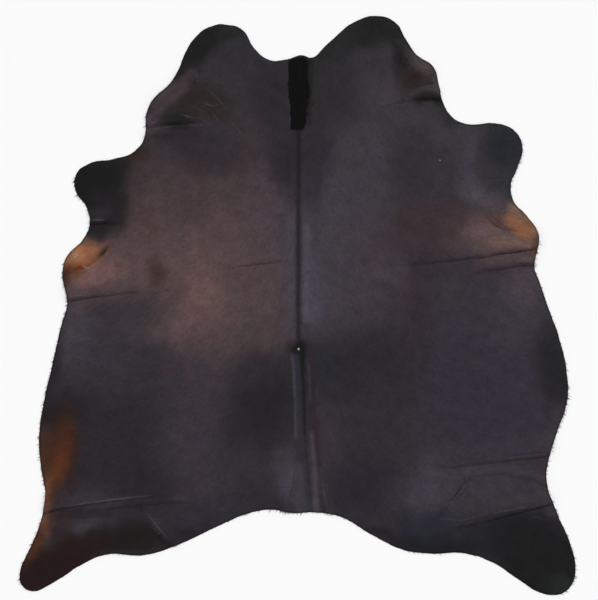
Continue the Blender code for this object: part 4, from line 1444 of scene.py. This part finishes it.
def lock_object(name, middles):
    """A lock of unit length, width and thickness along +X, thickest at its middles."""
    points = [(0.0, 0.0, 0.0)]
    for along, girth in middles:
        points += [(along, girth / 2, 0.0), (along, 0.0, girth), (along, -girth / 2, 0.0)]
    points.append((1.0, 0.0, TIP_RISE))
    tip = len(points) - 1
    faces = []
    for i in range(3):
        k = (i + 1) % 3
        faces.append((0, 1 + k, 1 + i))
        for ring in range(1, 3 * len(middles) - 2, 3):
            faces.append((ring + i, ring + k, ring + 3 + k, ring + 3 + i))
        faces.append((tip - 3 + i, tip - 3 + k, tip))
    mesh = bpy.data.meshes.new(name)
    mesh.from_pydata(points, [], faces)
    mesh.shade_smooth()
    sides = [2 not in edge_side(edge, len(points)) for edge in mesh.edges]
    mesh.attributes.new("sharp_edge", "BOOLEAN", "EDGE").data.foreach_set("value", sides)
    return bpy.data.objects.new(name, mesh)


slim_lock = lock_object("slim lock", SLIM_LOCK)
long_lock = lock_object("long lock", LONG_LOCK)
print("a slim lock has", sum(len(face.vertices) - 2 for face in slim_lock.data.polygons), "triangles")

# %% The tree that plants it
TREE_INPUTS = [
    ("Ground", "Geometry"), ("Lock", "Object"), ("Density", "Float"), ("Seed", "Int"),
    ("Size", "Vector"), ("Spread", "Float"), ("Turn", "Vector"), ("Hair", "Material"),
]


def planting_tree(name, strewn_over):
    """Geometry Nodes that plant locks on strewn points or on the ground's own points."""
    tree = bpy.data.node_groups.new(name, "GeometryNodeTree")
    tree.interface.new_socket("Planted", in_out="OUTPUT", socket_type="NodeSocketGeometry")
    for title, kind in TREE_INPUTS:
        tree.interface.new_socket(title, in_out="INPUT", socket_type="NodeSocket" + kind)

    def add(kind, settings=None, inputs=None):
        node = tree.nodes.new(kind)
        for key, value in (settings or {}).items():
            setattr(node, key, value)
        for key, value in (inputs or {}).items():
            if isinstance(value, bpy.types.NodeSocket):
                tree.links.new(value, node.inputs[key])
            else:
                node.inputs[key].default_value = value
        return node.outputs

    def carried(title, kind):
        return add("GeometryNodeInputNamedAttribute", {"data_type": kind}, {"Name": title})[0]

    def maths(operation, first, second, kind="Math"):
        return add("ShaderNode" + kind, {"operation": operation}, {0: first, 1: second})[0]

    def drawn(kind, low, high, at=0, output=0):
        """A random value between two. The node keeps each kind in sockets of its own."""
        inputs = {at: low, at + 1: high, "Seed": given["Seed"]}
        return add("FunctionNodeRandomValue", {"data_type": kind}, inputs)[output]

    given = add("NodeGroupInput")
    if strewn_over:
        density = maths("MULTIPLY", given["Density"], carried("growth", "FLOAT"))
        strewn_points = add(
            "GeometryNodeDistributePointsOnFaces", {},
            {"Mesh": given["Ground"], "Density": density, "Seed": given["Seed"]},
        )
        roots, up = strewn_points[0], strewn_points[1]
    else:
        roots = add("GeometryNodeMeshToPoints", {}, {"Mesh": given["Ground"]})[0]
        up = carried("up", "FLOAT_VECTOR")
    facing = add(
        "FunctionNodeAxesToRotation", {"primary_axis": "Z", "secondary_axis": "X"},
        {0: up, 1: carried("lie", "FLOAT_VECTOR")},
    )[0]
    against = maths("MULTIPLY", given["Turn"], (-1.0, -1.0, -1.0), "VectorMath")
    turn = drawn("FLOAT_VECTOR", against, given["Turn"])
    turned = add(
        "FunctionNodeRotateRotation", {"rotation_space": "LOCAL"},
        {0: facing, 1: add("FunctionNodeEulerToRotation", {}, {0: turn})[0]},
    )[0]
    least = maths("SUBTRACT", 1.0, given["Spread"])
    most = maths("ADD", 1.0, given["Spread"])
    reach = add("ShaderNodeCombineXYZ", {}, {0: carried("reach", "FLOAT"), 1: 1.0, 2: 1.0})[0]
    size = maths("MULTIPLY", given["Size"], reach, "VectorMath")
    size = maths("MULTIPLY", size, drawn("FLOAT_VECTOR", least, most), "VectorMath")
    lock = add("GeometryNodeObjectInfo", {}, {"Object": given["Lock"]})["Geometry"]
    planted = add(
        "GeometryNodeInstanceOnPoints", {},
        {"Points": roots, "Instance": lock, "Rotation": turned, "Scale": size},
    )[0]
    toned = add(
        "GeometryNodeStoreNamedAttribute", {"data_type": "FLOAT", "domain": "INSTANCE"},
        {"Geometry": planted, "Name": "tone", "Value": drawn("FLOAT", 0.0, 1.0, 2, 1)},
    )[0]
    real = add("GeometryNodeRealizeInstances", {}, {"Geometry": toned})[0]
    dyed = add("GeometryNodeSetMaterial", {}, {"Geometry": real, "Material": given["Hair"]})[0]
    add("NodeGroupOutput", {}, {0: dyed})
    return tree


STREWING = planting_tree("locks strewn over a coat", True)
PLACING = planting_tree("locks at given points", False)


def plant(name, ground, tree, settings):
    """Grows locks on a ground and returns them as one plain mesh piece."""
    grower = ground.modifiers.new("planting", "NODES")
    grower.node_group = tree
    for socket in tree.interface.items_tree:
        if socket.name in settings:
            grower[socket.identifier] = settings[socket.name]
    ready = ground.evaluated_get(bpy.context.evaluated_depsgraph_get())
    mesh = bpy.data.meshes.new_from_object(ready)
    ground.modifiers.remove(grower)
    mesh.name = name
    mesh.shade_smooth()
    lay_out(mesh, flat_places(mesh))
    piece = place(name, mesh)
    print(f"{name}: {sum(len(face.vertices) - 2 for face in mesh.polygons)} triangles")
    return piece


def grow(name, roots, lock, seed, size, spread, turn, hair):
    """Plants a piece from its own roots, which aren't needed afterwards."""
    settings = {"Lock": lock, "Seed": seed, "Size": size, "Spread": spread, "Turn": turn, "Hair": hair}
    piece = plant(name, roots, PLACING, settings)
    bpy.data.objects.remove(roots)
    return piece


RIM_SHADE = 0.75  # how much painted shade the loose hair gets
LOCK_SINK = 0.35 * MM  # how deep a lock may lie in the coat
FLOOR_CLEAR = 0.05 * MM  # hair that hangs as low as the floor lies on it


def coat_floor(points):
    """How deep a lock may sink into the coat."""
    return lift(points) + relief(points) + COAT_TOP - LOCK_SINK


def skin_floor(points):
    """How low the hair past the rim may hang."""
    return lift(points) + FLOOR_CLEAR


def settle(piece, floor):
    """Raises what sinks too deep, so that no lock goes through the skin."""
    mesh = piece.data
    places = np.array([vertex.co[:] for vertex in mesh.vertices])
    places[:, 2] = np.maximum(places[:, 2], floor(places[:, :2]))
    mesh.vertices.foreach_set("co", places.ravel())
    mesh.update()
    return piece


def rooted(name, points, height, lie, reach):
    """A ground of bare points, each with its height, its hair's direction and its length."""
    mesh = bpy.data.meshes.new(name)
    level = lift(points) + height
    mesh.from_pydata(np.column_stack([points, level]).tolist(), [], [])
    give(mesh, "lie", "FLOAT_VECTOR", lie)
    give(mesh, "up", "FLOAT_VECTOR", np.tile((0.0, 0.0, 1.0), (len(points), 1)))
    give(mesh, "reach", "FLOAT", reach)
    give(mesh, "parting", "FLOAT", parting_gap(points))
    give(mesh, "combed", "FLOAT_VECTOR", combed(points))
    give(mesh, "dye", "FLOAT_VECTOR", zone_tone(points))
    give(mesh, "edge", "FLOAT", np.full(len(points), RIM_SHADE))
    return place(name, mesh)


print("the planting trees have", len(STREWING.nodes), "and", len(PLACING.nodes), "nodes")

# %% [markdown]
# ## The hair over the coat
#
# Slim locks of nearly two centimetres lie all over the coat, close enough to cover it. They are kept
# flat and sunk at the root, so from a step away the coat stays sleek, while up close and along
# the folds each lock catches the light by itself.

# %% Locks over the coat
COAT_LOCK = (0.017, 0.0017, 0.00020)  # length, width, thickness
COAT_LOCK_DENSITY = 10000.0  # locks for each square metre and piece
COAT_LOCK_SEED = 50
COAT_LOCK_TURN = (0.2, 0.012, 0.09)
COAT_LOCK_SPREAD = 0.32
COAT_PIECES = ("hair_one", "hair_two", "hair_three")

LOCK_HAIR = hair_material("lock hair", False)
coat_hair = []
for number, title in enumerate(COAT_PIECES):
    locks = plant(
        title, coat, STREWING,
        {
            "Lock": slim_lock, "Density": COAT_LOCK_DENSITY, "Seed": COAT_LOCK_SEED + number,
            "Size": COAT_LOCK, "Spread": COAT_LOCK_SPREAD, "Turn": COAT_LOCK_TURN,
            "Hair": LOCK_HAIR,
        },
    )
    coat_hair.append(settle(locks, coat_floor))

# %% [markdown]
# ## The hair at the rim
#
# Where the hair points out of the hide it hangs over the cut edge, most of all at the flanks, and
# gives the outline its tiny teeth. Where it points inwards, at the neck, only short stubs stand
# out. Three rows of locks follow the rim, each a little lower than the one inside it.

# %% Locks along the rim
RIM_ROWS = [  # shift outwards in millimetres, height, share of the length
    (-5.4, COAT_TOP - 0.2 * MM, 1.0),
    (-3.4, COAT_TOP - 0.5 * MM, 0.85),
    (-1.6, COAT_TOP - 1.2 * MM, 0.7),
]
RIM_SPACING = 1.9 * MM
RIM_SCATTER = 0.9  # millimetres in and out
RIM_LOCK = (0.001, 0.0021, 0.0005)  # its length is multiplied by the reach of its root
RIM_SPREAD = 0.25
RIM_TURN = (0.3, 0.1, 0.22)
RIM_DROOP = -0.16
RIM_PUSH = (0.75, 0.35)  # how much it is pushed outwards, and how much less where it points there
RIM_LEAST = 0.15  # how much of its own direction it keeps at least
RIM_STUB = 3.0  # millimetres of the shortest hair
RIM_HANG = 1.7  # how much longer it is where it points outwards
RIM_TUFTS = [(0.22, 0.012, 62), (0.15, 0.05, 63)]  # share, size, seed
TUFT_LIMITS = (0.45, 1.7)
SERRATED = [(-94.6, -48.0), (99.3, -36.0)]  # where the flanks show the longest teeth
SERRATED_HALF = 0.13


def rim_ground():
    chance = np.random.default_rng(61)
    rim = along_line(LOOP, RIM_SPACING, closed=True)
    shift, height, share = (np.repeat(values, len(rim)) for values in zip(*RIM_ROWS))
    shift = shift + chance.uniform(-RIM_SCATTER, RIM_SCATTER, len(shift))
    out = np.tile(outwards(rim), (len(RIM_ROWS), 1))
    points = np.tile(rim, (len(RIM_ROWS), 1)) + shift[:, None] * MM * out
    lie = lie_of(points)
    outward = (lie * out).sum(1)
    push = RIM_PUSH[0] - RIM_PUSH[1] * outward.clip(0.0, 1.0)
    lean = lie * outward.clip(RIM_LEAST, 1.0)[:, None] + out * push[:, None]
    lean /= np.linalg.norm(lean, axis=1, keepdims=True)
    tufts = 1.0 + sum(part * waves(points, size, seed) for part, size, seed in RIM_TUFTS)
    teeth = np.zeros(len(points))
    for middle in on_hide(SERRATED):
        teeth += np.exp(-(((points - middle) ** 2).sum(1) / SERRATED_HALF**2))
    reach = RIM_STUB + RIM_HANG * outward.clip(0.0, 1.0) * (1.0 + 0.5 * teeth)
    reach *= share * tufts.clip(*TUFT_LIMITS)
    direction = np.column_stack([lean, np.full(len(points), RIM_DROOP)])
    return rooted("rim roots", points, height, direction, reach)


rim_hair = grow("hair_rim", rim_ground(), slim_lock, 64, RIM_LOCK, RIM_SPREAD, RIM_TURN, LOCK_HAIR)
settle(rim_hair, skin_floor)

# %% [markdown]
# ## The mane
#
# From the notch in the neck a stripe of longer, coarser, jet black hair runs down the first
# sixth of the back and ends bluntly. It lies in overlapping locks that all point to the tail,
# so it is planted from points between the parting and the stripe's two edges.

# %% Locks of the mane
MANE_EDGES = [  # along the hide, left edge, right edge
    (91.6, -3.0, 3.2), (89.4, -3.0, 3.2), (84.6, -2.8, 3.6), (79.1, -2.6, 3.6), (73.6, -2.3, 2.9),
    (68.8, -2.0, 2.5), (66.2, -1.9, 1.7), (64.8, -1.7, 0.4),
]
MANE_COUNT = 4600
MANE_LOCK = (0.001, 0.0026, 0.0008)
MANE_SPREAD = 0.2
MANE_TURN = (0.3, 0.02, 0.06)
MANE_LENGTH = (8.0, 30.0)  # millimetres, at the blunt end and elsewhere
MANE_VARY = (0.85, 1.15)  # times that length
MANE_STRAY = (0.12, 2.6)  # how far in centimetres roots stray, and how much more on the right
MANE_MARGIN = 1.5 * MM
MANE_SWAY = (0.12, 0.03, 72)  # share, size, seed
MANE_WOBBLE = 0.07
MANE_DROOP = -0.01
MANE_RISE = (-0.2, 0.8)  # millimetres over the coat
MANE_SHARES = (0.6, 0.5)  # how much the tone varies from lock to lock and with the streaks
MANE_ROUGHNESS = (0.5, 0.2)  # at least, and how much more on a streak
MANE_SHINE = 0.04
MANE_DARK = (0.0014, 0.0018, 0.0017, 1.0)
MANE_PALE = (0.0056, 0.0056, 0.0054, 1.0)


def mane_material():
    material, nodes, inputs = new_material("mane hair", MANE_SHINE)
    streak = nodes.noise(nodes.attribute("combed", vector=True) * STREAK_WIDE, 1.0, 2.0)
    share = nodes.attribute("tone") * MANE_SHARES[0] + streak * MANE_SHARES[1]
    nodes.feed(inputs["Base Color"], nodes.mix(share, MANE_DARK, MANE_PALE))
    nodes.feed(inputs["Roughness"], MANE_ROUGHNESS[0] + streak * MANE_ROUGHNESS[1])
    return material


def mane_ground():
    chance = np.random.default_rng(71)
    marks = np.array(MANE_EDGES[::-1])
    foot = marks[0, 0]
    along = chance.uniform(foot + 1.0, marks[-1, 0], MANE_COUNT)
    left, right = (np.interp(along, marks[:, 0], marks[:, i]) for i in (1, 2))
    share = chance.uniform(0.0, 1.0, MANE_COUNT)
    stray = chance.normal(0.0, MANE_STRAY[0], MANE_COUNT) * (1.0 + MANE_STRAY[1] * share)
    across = left + (right - left) * share + stray
    points = on_hide(np.column_stack([across, along]))
    points = points[inside(points, LOOP - MANE_MARGIN * outwards(LOOP))]
    count = len(points)
    room = (points[:, 1] - on_hide([(0.0, foot)])[0][1]) / MM
    reach = np.clip(room, *MANE_LENGTH) * chance.uniform(*MANE_VARY, count)
    share, size, seed = MANE_SWAY
    sway = share * waves(points, size, seed) + chance.normal(0.0, MANE_WOBBLE, count)
    lie = np.column_stack([sway, np.full(count, -1.0), np.full(count, MANE_DROOP)])
    height = COAT_TOP + chance.uniform(*MANE_RISE, count) * MM
    return rooted("mane roots", points, height, lie, reach)


MANE_HAIR = mane_material()
mane_hair = grow(
    "hair_mane", mane_ground(), long_lock, 73, MANE_LOCK, MANE_SPREAD, MANE_TURN, MANE_HAIR
)
settle(mane_hair, coat_floor)

# %% [markdown]
# ## The white hairs
#
# A few white hairs stand in the dark coat: a small tuft in the whorl below the middle of the back,
# one fleck on the right shoulder, and a sprinkling on the ginger elbow.

# %% White tufts
Tuft = namedtuple("Tuft", "name middle half count length")
TUFTS = [
    Tuft("whorl", (0.5, -16.1), (0.15, 0.32), 24, 4.5),
    Tuft("right shoulder, fleck", (52.6, 53.4), (0.10, 0.16), 6, 3.2),
    Tuft("left elbow, flecks", (-82.0, 18.2), (2.4, 1.6), 70, 2.6),
    Tuft("left elbow, lower flecks", (-77.2, 13.8), (1.2, 0.8), 14, 2.6),
]
WHITE_LOCK = (0.001, 0.0007, 0.0004)
WHITE_SPREAD = 0.25
WHITE_TURN = (0.3, 0.1, 0.3)
WHITE_LIE = (0.6, -0.7, 0.5, 0.08)  # fan across, run to the tail, fan along, rise
WHITE_VARY = (0.7, 1.2)
WHITE_HEIGHT = COAT_TOP + 0.4 * MM
WHITE_SHINE = 0.5
WHITE_ROUGHNESS = 0.5
WHITE_DARK = (0.62, 0.56, 0.48, 1.0)
WHITE_PALE = (0.9, 0.88, 0.84, 1.0)


def white_material():
    material, nodes, inputs = new_material("white hair", WHITE_SHINE)
    nodes.feed(inputs["Base Color"], nodes.mix(nodes.attribute("tone"), WHITE_DARK, WHITE_PALE))
    inputs["Roughness"].default_value = WHITE_ROUGHNESS
    return material


def tuft_ground():
    chance = np.random.default_rng(81)
    fan, tail, spread, rise = WHITE_LIE
    tufts = []
    for tuft in TUFTS:
        spot = chance.normal(0.0, 0.5, (tuft.count, 2)).clip(-1.0, 1.0)
        points = on_hide(np.array(tuft.middle) + spot * np.array(tuft.half))
        up = np.full(tuft.count, rise)
        lie = np.column_stack([fan * spot[:, 0], tail + spread * spot[:, 1], up])
        tufts.append((points, lie, tuft.length * chance.uniform(*WHITE_VARY, tuft.count)))
    points, lie, reach = (np.concatenate(values) for values in zip(*tufts))
    return rooted("tuft roots", points, WHITE_HEIGHT, lie, reach)


WHITE_HAIR = white_material()
white_hair = grow(
    "hair_white", tuft_ground(), slim_lock, 82, WHITE_LOCK, WHITE_SPREAD, WHITE_TURN, WHITE_HAIR
)

# %% [markdown]
# ## Ready for the frame
#
# The leather and the coat ride on the hide's one body and stand for its solid. The flat area
# that the skin was cut to is worked out from the outline.

# %% Handing the pieces to the frame
hair_pieces = [*coat_hair, rim_hair, mane_hair, white_hair]
for piece in (leather, coat, *hair_pieces):
    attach(piece, "root")
    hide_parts("hide")

(east, north), (last_east, last_north) = LOOP.T, np.roll(LOOP, 1, axis=0).T
FLAT_AREA = 0.5 * abs(np.dot(east, last_north) - np.dot(north, last_east))
dressed_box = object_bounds()
[[list(corner) for corner in box] for box in (solid_box, dressed_box)]
print("flat area", round(FLAT_AREA, 3), "square metres")
